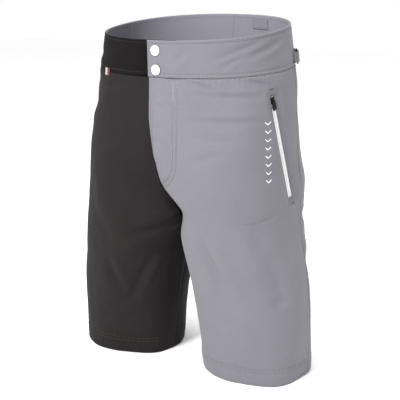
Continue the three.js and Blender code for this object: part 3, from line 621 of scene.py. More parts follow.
class Finishes:
    """Every material of the shorts, made once."""

    def __init__(self) -> None:
        """Builds the materials."""
        self.grey = Fabric("nylon_grey", (0.158, 0.155, 0.177), shade=0.95).material()
        self.black = Fabric("nylon_black", (0.0135, 0.0112, 0.0116), shade=0.85,
                            specular=0.13, sheen=0.01).material()
        # Darker copy of the black cloth for the black band: painted shade, since the band faces the light
        # differently from the legs.
        self.band_black = Fabric("nylon_black_doubled", (0.006, 0.0052, 0.0055), shade=0.85,
                                 specular=0.08, sheen=0.0).material()
        self.facing = Fabric("facing_grey", (0.196, 0.190, 0.222), shade=0.95,
                             yarn=0.0009).material()
        self.web_grey = Fabric("webbing_grey", (0.15, 0.15, 0.17), yarn=0.0016, rib=True,
                               relief=0.0003).material()
        self.web_black = Fabric("webbing_black", (0.014, 0.013, 0.013), yarn=0.0016, rib=True,
                                relief=0.0003).material()
        self.hook = Fabric("hook_tape", (0.01, 0.01, 0.01), yarn=0.0014, relief=0.0006).material()
        self.tape_white = Fabric("zip_tape_white", (0.86, 0.86, 0.87), shade=0.96, yarn=0.0008,
                                 rib=True, sheen=0.0, roughness=0.6).material()
        self.tape_black = Fabric("zip_tape_black", (0.012, 0.012, 0.012), yarn=0.0008,
                                 rib=True, sheen=0.05).material()
        self.label_red = Fabric("label_red", (0.13, 0.010, 0.016), yarn=0.0007,
                                sheen=0.05).material()
        self.label_white = Fabric("label_white", (0.34, 0.33, 0.36), yarn=0.0007).material()
        self.label_grey = Fabric("label_grey", (0.165, 0.165, 0.19), yarn=0.0007).material()
        # Grey thread darker than the grey cloth: partly the thread's own tone, partly painted shade of the grooves
        # the stitching pulls in.
        self.thread_grey = Solid("thread_grey", (0.100, 0.100, 0.116), 0.8, specular=0.2).material()
        self.thread_dark = Solid("thread_dark", (0.060, 0.046, 0.038), 0.7).material()
        self.thread_white = Solid("thread_white", (0.88, 0.88, 0.90), 0.5).material()
        self.coil_white = Solid("coil_white", (0.84, 0.84, 0.85), 0.35).material()
        self.coil_black = Solid("coil_black", (0.015, 0.015, 0.015), 0.35).material()
        self.enamel = Solid("enamel_white", (0.88, 0.88, 0.88), 0.22, spread=0.02).material()
        self.plastic = Solid("plastic_black", (0.006, 0.006, 0.0065), 0.45,
                             specular=0.16).material()
        self.metal = Solid("plated_metal", (0.62, 0.62, 0.64), 0.3, metallic=1.0).material()

    def cloth(self, side: Side) -> bpy.types.Material:
        """Outer cloth of a side."""
        return self.grey if side is Side.LEFT else self.black

    def band(self, side: Side) -> bpy.types.Material:
        """Outer cloth of the band on a side; on the black side a darker copy of the black cloth, painted shade for
        the band facing the light differently.
        """
        return self.grey if side is Side.LEFT else self.band_black

    def thread(self, side: Side) -> bpy.types.Material:
        """Sewing thread of a side."""
        return self.thread_grey if side is Side.LEFT else self.thread_dark

    def webbing(self, side: Side) -> bpy.types.Material:
        """Adjuster webbing of a side."""
        return self.web_grey if side is Side.LEFT else self.web_black


def cloth_slot(side: Side) -> str:
    """Record slot of a side's outer cloth."""
    return "cloth_grey" if side is Side.LEFT else "cloth_black"


# ------------------------------------------------------------------ mesh helpers
def to_object(
    bm: bmesh.types.BMesh, name: str, material: bpy.types.Material, flat_map: bool = False
) -> bpy.types.Object:
    """Turns a bmesh into a smooth object at the origin.

    Args:
        bm: Mesh in metres; it is freed.
        name: Piece name.
        material: Its finish.
        flat_map: Whether the layer "flat" becomes the UV map "cloth".

    Returns:
        The object, linked to the scene.
    """
    mesh = bpy.data.meshes.new(name)
    bm.to_mesh(mesh)
    bm.free()
    mesh.materials.append(material)
    mesh.polygons.foreach_set("use_smooth", np.ones(len(mesh.polygons), bool))
    uv = mesh.uv_layers.new(name="cloth")
    corner = np.zeros(len(mesh.loops), np.int32)
    mesh.loops.foreach_get("vertex_index", corner)
    if flat_map:
        values = np.zeros(len(mesh.vertices) * 3, np.float32)
        mesh.attributes["flat"].data.foreach_get("vector", values)
        flat = values.reshape(-1, 3)[:, :2]
    else:
        values = np.zeros(len(mesh.vertices) * 3, np.float32)
        mesh.vertices.foreach_get("co", values)
        flat = values.reshape(-1, 3)[:, [0, 2]]
    uv.data.foreach_set("uv", np.ascontiguousarray(flat[corner], np.float32).ravel())
    made = bpy.data.objects.new(name, mesh)
    bpy.context.scene.collection.objects.link(made)
    return made


Layout = Callable[[np.ndarray, np.ndarray], tuple[np.ndarray, np.ndarray]]


def patch(
    columns: int, heights: np.ndarray, layout: Layout, flip: bool = False
) -> bmesh.types.BMesh:
    """Grid of cloth laid out by a function of share across and height.

    Args:
        columns: Number of faces across.
        heights: Height of each row, in millimetres.
        layout: Gives points in millimetres and flat positions in metres.
        flip: Turns the faces to the other side.

    Returns:
        The mesh in metres, with its flat positions in the layer "flat".
    """
    bm = bmesh.new()
    bmesh.ops.create_grid(bm, x_segments=columns, y_segments=len(heights) - 1, size=1.0)
    layer = bm.verts.layers.float_vector.new("flat")
    verts = list(bm.verts)
    at = np.array([v.co[:2] for v in verts])
    share = (at[:, 0] + 1) / 2
    height = np.interp((at[:, 1] + 1) / 2, np.linspace(0, 1, len(heights)), heights)
    points, flat = layout(share, height)
    for v, p, f in zip(verts, points * MM, flat):
        v.co = p
        v[layer] = (f[0], f[1], 0.0)
    if flip:
        bmesh.ops.reverse_faces(bm, faces=bm.faces[:])
    bm.normal_update()
    return bm


def thicken(piece: bpy.types.Object, thickness: float, offset: float = -1.0) -> None:
    """Gives a sheet its thickness.

    Args:
        piece: The sheet.
        thickness: Its thickness in millimetres.
        offset: Where the thickness goes, from -1, inward, to 1, outward.
    """
    solid = piece.modifiers.new("thickness", "SOLIDIFY")
    solid.thickness = thickness * MM
    solid.offset = offset
    solid.use_even_offset = False


def turned(
    profile: Sequence[tuple[float, float]], seat: Matrix, steps: int = 48
) -> bmesh.types.BMesh:
    """Body turned about the seat's Z axis.

    Args:
        profile: Half profile of radius and level, in millimetres.
        seat: Placement in metres.
        steps: Faces round it.

    Returns:
        The mesh in metres.
    """
    bm = bmesh.new()
    verts = [bm.verts.new((radius * MM, 0, level * MM)) for radius, level in profile]
    edges = [bm.edges.new(pair) for pair in zip(verts[:-1], verts[1:])]
    bmesh.ops.spin(bm, geom=verts + edges, cent=(0, 0, 0), axis=(0, 0, 1), dvec=(0, 0, 0),
                   angle=2 * math.pi, steps=steps, use_merge=True)
    bmesh.ops.remove_doubles(bm, verts=bm.verts[:], dist=1e-6)
    bmesh.ops.recalc_face_normals(bm, faces=bm.faces[:])
    bmesh.ops.transform(bm, matrix=seat, verts=bm.verts[:])
    return bm


def softened(node: str, width: float, segments: int = 2) -> bmesh.types.BMesh:
    """Copy of a CAD node with its sharp edges rounded.

    Args:
        node: CAD node name.
        width: Width of the rounding in millimetres.
        segments: Steps in each rounding.

    Returns:
        The mesh in metres.
    """
    bm = bmesh.new()
    bm.from_mesh(frame["nodes"][node].data)
    bmesh.ops.remove_doubles(bm, verts=bm.verts[:], dist=1e-6)
    bmesh.ops.dissolve_limit(bm, angle_limit=math.radians(FLAT_ANGLE), verts=bm.verts[:],
                             edges=bm.edges[:])
    least = math.radians(SHARP_ANGLE)
    sharp = [e for e in bm.edges if len(e.link_faces) == 2 and e.calc_face_angle(0) > least]
    bmesh.ops.bevel(bm, geom=sharp, offset=width * MM, offset_type="OFFSET", segments=segments,
                    profile=0.5, affect="EDGES", material=-1, clamp_overlap=True)
    bm.normal_update()
    return bm


def add_block(
    bm: bmesh.types.BMesh, low: Sequence[float], high: Sequence[float], width: float
) -> None:
    """Adds a box with rounded edges.

    Args:
        bm: Mesh that it is added to, in metres.
        low: Its lowest corner in millimetres.
        high: Its highest corner.
        width: Width of the rounding.
    """
    size = [(b - a) * MM for a, b in zip(low, high)]
    middle = Vector([(a + b) / 2 * MM for a, b in zip(low, high)])
    place = Matrix.Translation(middle) @ Matrix.Diagonal((*size, 1))
    made = bmesh.ops.create_cube(bm, size=1.0, matrix=place)["verts"]
    edges = list({e for v in made for e in v.link_edges})
    bmesh.ops.bevel(bm, geom=edges, offset=width * MM, offset_type="OFFSET", segments=2,
                    profile=0.5, affect="EDGES", material=-1)


# ------------------------------------------------------------------ the flap's fold line
@dataclass(frozen=True)
class FlapFold:
    """Slanted line along which the front's cloth folds when the flap opens."""

    foot: tuple[float, float] = (2.0, FLAP_FOOT)
    head: tuple[float, float] = (52.0, 540.0)
    spread: float = 28.0

    def carry(self, piece: bpy.types.Object) -> None:
        """Bakes a piece's placement into its mesh; the piece is not bent across the line.

        Args:
            piece: The piece.
        """
        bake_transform(piece)


FLAP_FOLD = FlapFold()


# ------------------------------------------------------------------ stitching
@dataclass
class Stitching:
    """Rows of thread laid on one cloth."""

    cloth: bpy.types.Object
    length: float = 2.4
    gap: float = 0.5
    radius: float = 0.27
    tack_radius: float = 0.28
    bm: bmesh.types.BMesh = field(default_factory=bmesh.new)
    tree: BVHTree = field(init=False)

    def __post_init__(self) -> None:
        """Reads the cloth's surface."""
        surface = bmesh.new()
        surface.from_mesh(self.cloth.data)
        self.tree = BVHTree.FromBMesh(surface)
        surface.free()

    def stitch(
        self, place: Vector, along: Vector, out: Vector, length: float, width: float
    ) -> None:
        """Lays one stitch.

        Args:
            place: Its middle.
            along: Its direction.
            out: Direction out of the cloth.
            length: Its length in millimetres.
            width: Half its thickness in millimetres.
        """
        x = (along - out * along.dot(out)).normalized()
        turn = Matrix((x, out.cross(x), out)).transposed().to_4x4()
        size = Matrix.Diagonal((length / 2 * MM, width * MM, width * 0.8 * MM, 1))
        bmesh.ops.create_icosphere(self.bm, subdivisions=1, radius=1.0,
                                   matrix=Matrix.Translation(place) @ turn @ size)

    def row(self, points: np.ndarray) -> None:
        """Sews a row of stitches.

        Args:
            points: Points that it runs through, in millimetres.
        """
        line = np.asarray(points, float) * MM
        runs = np.concatenate([[0], np.cumsum(np.linalg.norm(np.diff(line, axis=0), axis=1))])
        pitch = (self.length + self.gap) * MM
        count = int(runs[-1] / pitch)
        for i in range(count):
            at = [(i + share) * pitch for share in (0.3, 0.5, 0.7)]
            back, middle, ahead = (
                Vector([np.interp(run, runs, line[:, k]) for k in range(3)]) for run in at
            )
            place, out, _, _ = self.tree.find_nearest(middle)
            if place is not None:
                self.stitch(place, ahead - back, out, self.length, self.radius)

    def tack(self, start: Vector, end: Vector, width: float = 2.4, pitch: float = 0.5) -> None:
        """Sews a bar tack, a dense bar of crosswise stitches.

        Args:
            start: Its first end in millimetres.
            end: Its other end.
            width: Length of each stitch.
            pitch: Distance between stitches.
        """
        line = (end - start) * MM
        for i in range(int(line.length / (pitch * MM)) + 1):
            middle = start * MM + line.normalized() * i * pitch * MM
            place, out, _, _ = self.tree.find_nearest(middle)
            if place is not None:
                self.stitch(place, out.cross(line), out, width, self.tack_radius)

    def done(self, name: str, material: bpy.types.Material, slot: str, carried: bool) -> None:
        """Makes the piece.

        Args:
            name: Piece name.
            material: The thread.
            slot: Record slot; not used.
            carried: Whether it belongs to the opening flap; such a piece is only baked in place, not attached to
                the shorts.
        """
        piece = to_object(self.bm, name, material)
        if carried:
            FLAP_FOLD.carry(piece)
        else:
            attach(piece, "shorts")
        log.info("%s: %d faces", name, len(piece.data.polygons))


# ------------------------------------------------------------------ leg cloths
@dataclass
class LegCloths:
    """The four panels that make the legs, the seat and the front."""

    finishes: Finishes
    thickness: float = 0.7
    row_pitch: float = 2.3
    columns: int = 150
    crotch_rows: int = 26
    hem_rows: tuple[float, float] = (22.0, 27.0)
    fly_rows: tuple[float, float] = (-3.6, 3.6)
    allowance: float = 1.05
    flap_raise: float = 1.4
    tape_half: float = 6.5
    tape_drop: float = 4.6
    pieces: dict[tuple[Side, Half], bpy.types.Object] = field(default_factory=dict)
    pockets: dict[Side, "SidePocket"] = field(default_factory=dict)
    bulges: dict[Side, tuple[tuple[float, float, float, float], ...]] = field(
        default_factory=lambda: {
            Side.LEFT: ((300, 24, 55, 4.5), (40, 90, 60, 5.0)),
            Side.RIGHT: ((450, 24, 60, 3.5),),
        }
    )

    grey_creases: tuple[Crease, ...] = (
        Crease((50, 480), (112, 460), -2.4, 3.5),
        Crease((130, 480), (190, 464), -2.4, 3.5),
        Crease((50, 458), (192, 449), -2.2, 4.5),
        Crease((56, 419), (192, 413), -2.0, 5),
        Crease((58, 396), (150, 382), -1.1, 6),
        Crease((60, 350), (140, 372), -1.0, 7),
        Crease((150, 258), (150, 130), -5.5, 12),
        Crease((258, 300), (222, 60), -2.8, 15),
        Crease((250, 147), (214, 127), -2.2, 7),
        Crease((100, 120), (170, 70), -1.6, 12),
        Crease((-6, 441), (33, 431), -1.2, 4.5),
        Crease((-2, 386), (36, 374), -1.2, 4.5),
        Crease((9, 312), (46, 322), -1.2, 4),
    )
    black_creases: tuple[Crease, ...] = (
        Crease((8, 292), (-140, 210), -6.5, 8),
        Crease((-50, 222), (-132, 190), 3.6, 14),
        Crease((-168, 184), (-96, 88), -3.8, 9),
        Crease((-70, 196), (-100, 88), -3.8, 8),
        Crease((-36, 200), (-16, 70), -3.2, 8),
        Crease((-60, 130), (-150, 62), -2.2, 9),
        Crease((-4, 312), (-52, 322), -1.6, 4),
        Crease((-6, 330), (-40, 352), -1.2, 5),
        Crease((-40, 470), (-120, 462), -2.2, 4.5),
        Crease((-60, 380), (-160, 350), -2.4, 11),
        Crease((-140, 440), (-200, 400), -2.6, 10),
    )
    back_creases: tuple[Crease, ...] = (
        Crease((300, 300), (470, 262), -3.3, 12),
        Crease((310, 268), (460, 232), -3.0, 12),
        Crease((330, 455), (430, 440), -1.5, 8),
        Crease((300, 190), (420, 160), -2.4, 13),
        Crease((380, 330), (470, 300), -1.8, 9),
    )

    def heights(self) -> np.ndarray:
        """Rows of the grid, closer where the crotch turns under.

        Returns:
            Heights in millimetres, from the hem up.
        """
        crotch_top = FORM.inseam + FORM.crotch_curve
        low = np.linspace(0, FORM.inseam, round(FORM.inseam / self.row_pitch) + 1)
        turn = np.linspace(0, math.pi / 2, self.crotch_rows + 1)[1:]
        middle = crotch_top - FORM.crotch_curve * np.cos(turn)
        count = round((FORM.band_seam - crotch_top) / self.row_pitch)
        high = np.linspace(crotch_top, FORM.band_seam, count + 1)[1:]
        return np.concatenate([low, middle, high])

    @staticmethod
    def flap_edge(height: np.ndarray) -> np.ndarray:
        """Distance of the grey front's free edge from the middle, in millimetres."""
        return np.interp(height, [0, FLAP_FOOT, 366, 416, 482], [0, 0, -0.8, -6.7, -10])

    @staticmethod
    def fly_line(shift: float) -> tuple[tuple[float, float], ...]:
        """Curved fly stitching, a run down from the band and a quarter turn to the middle.

        Args:
            shift: Distance from the middle of the two rows, outward.

        Returns:
            Places of distance and height.
        """
        straight = [
            (35.5 + shift, 480.0), (39 + shift, 440.0), (43 + shift, 402.0), (45 + shift, FLAP_FOOT)
        ]
        turn = [
            (9 + (36 + shift) * math.cos(a), FLAP_FOOT - (37 + shift) * math.sin(a))
            for a in np.linspace(0.12, math.pi / 2, 14)
        ]
        return (*straight, *turn)

    def relief(self, side: Side, half: Half, bearing: np.ndarray, height: np.ndarray) -> np.ndarray:
        """Rise of a panel over the form, in millimetres.

        Args:
            side: Which side.
            half: Front or back.
            bearing: Bearings of the places.
            height: Heights of the places.

        Returns:
            The rise at each place.
        """
        arc = FORM.arc(bearing, height)
        signed = arc * side.value
        seam = FORM.quarter_length(height, Half.FRONT)
        middle = arc if half is Half.FRONT else seam + FORM.quarter_length(height, Half.BACK) - arc
        inner = np.abs(middle)
        outer = np.abs(seam - arc)
        rise = undulation(FORM.base(bearing, height, side), 2.6, 3.0 + 7 * side.value)
        calm = smooth(inner / 26) * smooth((FORM.band_seam - height) / 22)
        rise = rise * np.where(height > FORM.inseam, calm, smooth(inner / 26))
        ends = smooth(outer / 14)
        if half is Half.BACK:
            for crease in self.back_creases:
                rise = rise + crease.level(arc, height) * ends
        else:
            for crease in self.grey_creases if side is Side.LEFT else self.black_creases:
                rise = rise + crease.level(signed, height) * ends
        rise = rise * smooth(inner / 6)
        along = np.sin(2 * np.pi * height / 9 + 1.8 * np.sin(height / 23))
        rise += -1.0 * np.exp(-((outer / 1.3) ** 2)) + 0.35 * smooth((9 - outer) / 2)
        rise += 0.3 * along * np.exp(-(((outer - 5) / 5) ** 2))
        rise += (-0.9 * np.exp(-((inner / 1.3) ** 2))) * (middle >= 0)
        for at, width, reach, out in self.bulges[side]:
            rise += out * np.exp(-(((height - at) / width) ** 2)) * np.exp(-((outer / reach) ** 2))
        wave = 1.6 * np.sin(arc / 15 + side.value)
        rise += wave * smooth((70 - height) / 60) * smooth(inner / 22)
        around = np.sin(2 * np.pi * arc / 8 + 2.0 * np.sin(arc / 31))
        for row in self.hem_rows:
            rise += -0.75 * np.exp(-(((height - row) / 1.3) ** 2))
        rise += 0.45 * around * np.exp(-(((height - 24) / 9) ** 2))
        rise += 0.5 * smooth((28 - height) / 3) - 0.7 * smooth((1.6 - height) / 1.6)
        rise += -1.1 * smooth((height - FORM.band_seam + 2.5) / 2.5)
        rise += 0.35 * around * np.exp(-(((FORM.band_seam - height) / 12) ** 2))
        if half is Half.FRONT and side is Side.LEFT:
            for shift in self.fly_rows:
                rise += Groove(self.fly_line(shift)).level(arc, height)
            opened = smooth((height - FLAP_FOOT) / 18)
            rise += opened * self.flap_raise * smooth((30 - arc) / 20)
            edge = arc - self.flap_edge(height)
            rise += opened * -0.35 * np.exp(-(((edge - 2.5) / 1.2) ** 2))
        if half is Half.FRONT and side is Side.RIGHT:
            rise += -4.0 * smooth((arc * -1 + 2) / 8) * smooth((height - 350) / 12)
        return rise

    def panel(self, side: Side, half: Half) -> bmesh.types.BMesh:
        """Grid of one panel.

        Args:
            side: Which side.
            half: Front or back.

        Returns:
            The mesh in metres.
        """
        def layout(share: np.ndarray, height: np.ndarray) -> tuple[np.ndarray, np.ndarray]:
            """Lays out the places of the grid."""
            first, last = half.span
            start = np.full(height.shape, first)
            if half is Half.FRONT:
                under = -0.8 * smooth((height - 350) / 12)
                free = self.flap_edge(height) if side is Side.LEFT else under
                start = free / FORM.quarter_length(height, Half.FRONT) * 90
            bearing = start + (last - start) * share
            rise = self.relief(side, half, bearing, height)
            points = FORM.skin(bearing, height, side, rise)
            edge = (share < 1e-6) & (height < FLAP_FOOT) if half is Half.FRONT else share > 1 - 1e-6
            edge = edge & (height > FORM.inseam)
            points[edge, 0] = 0
            points[edge, 0] = FORM.bend(points[edge])
            if half is Half.FRONT:
                points = self.pockets[side].sink(points)
            flat = np.column_stack([FORM.arc(bearing, height), height]) * MM
            return points, flat

        return patch(self.columns, self.heights(), layout, flip=side is Side.RIGHT)

    def build(self, pockets: Iterable["SidePocket"]) -> None:
        """Makes the four cloths, with the pockets' windows cut in the fronts.

        Args:
            pockets: The side pockets.
        """
        self.pockets = {pocket.side: pocket for pocket in pockets}
        for side in Side:
            for half in Half:
                bm = self.panel(side, half)
                if half is Half.FRONT:
                    self.pockets[side].cut_window(bm)
                name = f"{half.word}_cloth_{side.word}"
                piece = to_object(bm, name, self.finishes.cloth(side), flat_map=True)
                thicken(piece, self.thickness)
                nodes = [f"{half.word}_panel_{side.word}"]
                if (side, half) == (Side.LEFT, Half.FRONT):
                    nodes.append("fly_flap")
                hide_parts(*nodes)
                self.pieces[side, half] = piece
                log.info("%s: %d faces", name, len(piece.data.polygons))

    def tapes(self) -> None:
        """Makes the tapes that bind the seams inside, at the middle back and both sides."""
        def layout_at(middle: float, reach: float, side: Side) -> Layout:
            """Layout of the tape along one seam."""
            def layout(share: np.ndarray, height: np.ndarray) -> tuple[np.ndarray, np.ndarray]:
                """Lays out the places of the grid."""
                run = (share * 2 - 1) * self.tape_half
                half = Half.BACK if middle > 90 else Half.FRONT
                turn = run / FORM.quarter_length(height, half) * 90
                across = middle - np.abs(turn) if middle > 90 else middle + turn
                rib = 0.3 * np.exp(-(((np.abs(run) - reach) / 0.9) ** 2))
                points = FORM.skin(across, height, side, -self.tape_drop - rib)
                if middle > 90:
                    bend = FORM.bend(points)
                    points[:, 0] = np.where(run < 0, 2 * bend - points[:, 0], points[:, 0])
                return points, np.column_stack([run, height]) * MM
            return layout

        crotch_top = FORM.inseam + FORM.crotch_curve
        rows = (
            ("back_seam_tape", 180.0, Side.LEFT, crotch_top + 4, False),
            ("side_seam_tape_left", 90.0, Side.LEFT, 32.0, False),
            ("side_seam_tape_right", 90.0, Side.RIGHT, 32.0, True),
        )
        for name, middle, side, low, flip in rows:
            heights = np.linspace(low, FORM.band_seam - 2, 120)
            bm = patch(14, heights, layout_at(middle, self.tape_half - 2, side), flip=flip)
            piece = to_object(bm, name, self.finishes.black, flat_map=True)
            thicken(piece, 0.4, offset=0)
            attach(piece, "shorts")

    def line(self, side: Side, places: Sequence[tuple[float, float]]) -> np.ndarray:
        """Points of a line drawn on the form.

        Args:
            side: Which side.
            places: Places of distance from the middle front and height.

        Returns:
            Points in millimetres, close together.
        """
        dense = []
        for a, b in zip(places[:-1], places[1:]):
            steps = max(2, int(math.dist(a, b) / 3))
            dense += [tuple(np.add(a, np.subtract(b, a) * i / steps)) for i in range(steps)]
        dense.append(places[-1])
        bearings = np.array([FORM.bearing_of_arc(a, h) for a, h in dense])
        return FORM.skin(bearings, np.array([h for _, h in dense]), side, 0.0)

    def seam_row(
        self, side: Side, half: Half, inset: float, from_side: bool, low: float, high: float
    ) -> np.ndarray:
        """Row that runs up beside a seam.

        Args:
            side: Which side.
            half: Front or back.
            inset: Distance from the seam in millimetres.
            from_side: Beside the side seam, else beside the middle or inner seam.
            low: Lowest height.
            high: Highest height.

        Returns:
            Points in millimetres.
        """
        height = np.linspace(low, high, max(2, int((high - low) / 4)))
        length = FORM.quarter_length(height, half)
        share = inset / length * 90
        if from_side:
            bearing = 90 - share if half is Half.FRONT else 90 + share
        else:
            bearing = share if half is Half.FRONT else 180 - share
        return FORM.skin(bearing, height, side, 0.0)

    def sew(self) -> None:
        """Sews every row on the four cloths and attaches them to the shorts, all but the grey front, whose
        placement is only baked.
        """
        for (side, half), piece in self.pieces.items():
            carried = (side, half) == (Side.LEFT, Half.FRONT)
            thread = Stitching(piece)
            span = (0.5, 89.5) if half is Half.FRONT else (90.5, 179.5)
            bearing = np.linspace(*span, 90)
            for row in self.hem_rows:
                thread.row(FORM.skin(bearing, np.full(90, row), side, 0.0))
            crotch_top = FORM.inseam + FORM.crotch_curve
            if half is Half.BACK:
                for inset in (2.2, 8.2):
                    thread.row(self.seam_row(side, half, inset, True, 30, 480))
                thread.row(self.seam_row(side, half, 2.4, False, crotch_top, 480))
                thread.row(self.seam_row(side, half, 8.0, False, crotch_top, 480))
            thread.row(self.seam_row(side, half, 2.4, False, 30, 240))
            if carried:
                for shift in self.fly_rows:
                    thread.row(self.line(side, self.fly_line(shift)))
                height = np.linspace(368, 479, 40)
                quarter = FORM.quarter_length(height, Half.FRONT)
                edge = (self.flap_edge(height) + 2.5) / quarter * 90
                thread.row(FORM.skin(edge, height, side, 1.0))
                tack = self.line(side, [(14, 300), (22, 291)])
                thread.tack(Vector(tack[0]), Vector(tack[-1]))
            if (side, half) == (Side.RIGHT, Half.FRONT):
                thread.row(self.line(side, [(3, 312), (2.6, FLAP_FOOT)]))
            thread.done(f"{half.word}_stitching_{side.word}", self.finishes.thread(side),
                        cloth_slot(side), carried)
            if carried:
                FLAP_FOLD.carry(piece)
            else:
                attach(piece, "shorts")
            heights = np.arange(0, FORM.band_seam, 2.0)
            mean = float(FORM.quarter_length(heights, half).mean())


# ------------------------------------------------------------------ waistband
@dataclass
class Waistband:
    """Outer band, its facing, its stitching and its labels."""

    finishes: Finishes
    outer_cloth: float = 0.6
    depth: float = 2.6
    overlap_edge: float = -12.0
    overlap_raise: float = 1.8
    underlap_sink: float = 5.0
    underlap_end: float = 36.0
    row_drop: float = 5.2
    row_rise: float = 6.5
    rows: int = 30
    label_reach: float = 6.0
    label_level: float = 0.9
    label_red_arcs: tuple[float, float] = (99.9, 107.6)
    label_white_arcs: tuple[float, float] = (107.8, 115.5)
    back_label_runs: tuple[float, float] = (70.0, 36.0)
    back_label_drops: tuple[float, float] = (21.0, 6.0)
    folds: tuple[Crease, ...] = (
        Crease((186, 538), (84, 508), -2.0, 4.5),
        Crease((232, 533), (128, 506), -1.8, 5),
        Crease((150, 520), (100, 494), -1.3, 4),
        Crease((60, 530), (30, 500), -1.1, 5),
        Crease((-60, 530), (-150, 505), -1.5, 6),
        Crease((-120, 515), (-200, 495), -1.3, 6),
        Crease((6, 510), (14, 486), -1.5, 3),
    )

    def level(self, side: Side, half: Half, bearing: np.ndarray) -> np.ndarray:
        """Level of the band's outer face, which rises in the overlap and sinks in the underlap.

        Args:
            side: Which side.
            half: Front or back.
            bearing: Bearings in degrees.

        Returns:
            A level in millimetres for each bearing.
        """
        arc = FORM.arc(bearing, np.full(bearing.shape, FORM.rim))
        if half is Half.BACK:
            return np.zeros(arc.shape)
        if side is Side.LEFT:
            return self.overlap_raise * smooth((58 - arc) / 26)
        return -self.underlap_sink * smooth((-arc + 36) / 20)

    def strip(self, side: Side, half: Half, inside: bool) -> bmesh.types.BMesh:
        """Grid of the band's outer cloth or facing, rolled over at the rim to meet the other.

        Args:
            side: Which side.
            half: Front or back.
            inside: True for the facing.

        Returns:
            The mesh in metres.
        """
        radius = self.depth / 2
        straight = np.linspace(FORM.band_seam, FORM.rim - radius, self.rows)
        roll = np.linspace(0, math.pi / 2, 6)[1:]
        rows = np.concatenate([straight, FORM.rim + roll])

        def layout(share: np.ndarray, row: np.ndarray) -> tuple[np.ndarray, np.ndarray]:
            """Lays out the places of the grid."""
            over = np.clip(row - FORM.rim, 0, math.pi / 2)
            rolled = row > FORM.rim
            height = np.where(rolled, FORM.rim - radius + radius * np.sin(over), row)
            first, last = half.span
            start = np.full(share.shape, first)
            if half is Half.FRONT:
                edge = self.overlap_edge if side is Side.LEFT else -self.underlap_end
                quarter = FORM.quarter_length(np.full(share.shape, FORM.rim), half)
                start = start + edge / quarter * 90
            bearing = start + (last - start) * share
            level = self.level(side, half, bearing)
            drop = np.where(rolled, radius * (1 - np.cos(over)), 0.0)
            level = level - self.depth + drop if inside else level - drop
            arc = FORM.arc(bearing, height)
            signed = arc * side.value
            if not inside:
                pull = smooth((height - FORM.band_seam) / 5) * smooth((FORM.rim - height) / 4)
                for fold in self.folds:
                    level = level + fold.level(signed, height) * pull
                ripple = np.sin(2 * np.pi * arc / 7 + 2 * np.sin(arc / 29))
                for at in (FORM.rim - self.row_drop, FORM.band_seam + self.row_rise):
                    away = (height - at) / 1.2
                    level = level - 0.85 * np.exp(-(away**2))
                    level = level + 0.2 * ripple * np.exp(-((away / 3) ** 2))
                level = level - 0.9 * smooth((FORM.band_seam + 1.6 - height) / 1.6)
            if (side, half) == (Side.LEFT, Half.FRONT):
                turn = smooth((0.9 - (arc - self.overlap_edge)) / 0.9) * radius
                level = level + turn if inside else level - turn
            points = FORM.band(bearing, height, side, level)
            return points, np.column_stack([arc, height]) * MM

        return patch(170 if half is Half.FRONT else 110, rows, layout,
                     flip=(side is Side.RIGHT) is not inside)

    def build(self) -> None:
        """Makes the eight cloths of the band, with their stitching."""
        for side in Side:
            for half in Half:
                carried = (side, half) == (Side.LEFT, Half.FRONT)
                for inside in (False, True):
                    lining = "_facing" if inside else ""
                    node = f"waistband_{half.word}_{side.word}{lining}"
                    name = f"band_{'facing' if inside else 'cloth'}_{half.word}_{side.word}"
                    material = self.finishes.facing if inside else self.finishes.band(side)
                    piece = to_object(self.strip(side, half, inside), name, material, flat_map=True)
                    thicken(piece, self.outer_cloth)
                    nodes = [node]
                    if carried:
                        nodes.append(f"waistband_overlap{lining}")
                    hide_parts(*nodes)
                    slot = "facing_grey" if inside else cloth_slot(side)
                    self.sew(piece, side, half, inside, slot, carried)
                    if carried:
                        FLAP_FOLD.carry(piece)
                    else:
                        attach(piece, "shorts")
                    length = float(FORM.quarter_length(FORM.rim, half))
                    if half is Half.FRONT:
                        length += -self.overlap_edge if side is Side.LEFT else self.underlap_end
                    log.info("%s: %d faces", name, len(piece.data.polygons))

    def sew(self, piece: bpy.types.Object, side: Side, half: Half, inside: bool, slot: str,
            carried: bool) -> None:
        """Sews the band's two long rows, and a row down the overlap's edge.

        Args:
            piece: The cloth.
            side: Which side.
            half: Front or back.
            inside: True for the facing.
            slot: Record slot of the thread; passed on but not used.
            carried: Whether it belongs to the opening flap; such stitching is only baked in place, not attached to
                the shorts.
        """
        thread = Stitching(piece)
        first, last = (0.5, 89.5) if half is Half.FRONT else (90.5, 179.5)
        if half is Half.FRONT:
            quarter = float(FORM.quarter_length(FORM.rim, half))
            start = self.overlap_edge + 3 if side is Side.LEFT else 1 - self.underlap_end
            first = start / quarter * 90
        bearing = np.linspace(first, last, 120)
        level = self.level(side, half, bearing) - (self.depth if inside else 0)
        for at in (FORM.rim - self.row_drop, FORM.band_seam + self.row_rise):
            thread.row(FORM.band(bearing, np.full(120, at), side, level))
        if carried:
            height = np.linspace(FORM.band_seam + self.row_rise, FORM.rim - self.row_drop, 20)
            thread.row(FORM.band(np.full(20, first), height, side, np.full(20, level[0])))
        colour = self.finishes.thread_grey if inside else self.finishes.thread(side)
        thread.done(f"{piece.name}_stitching", colour, slot, carried)

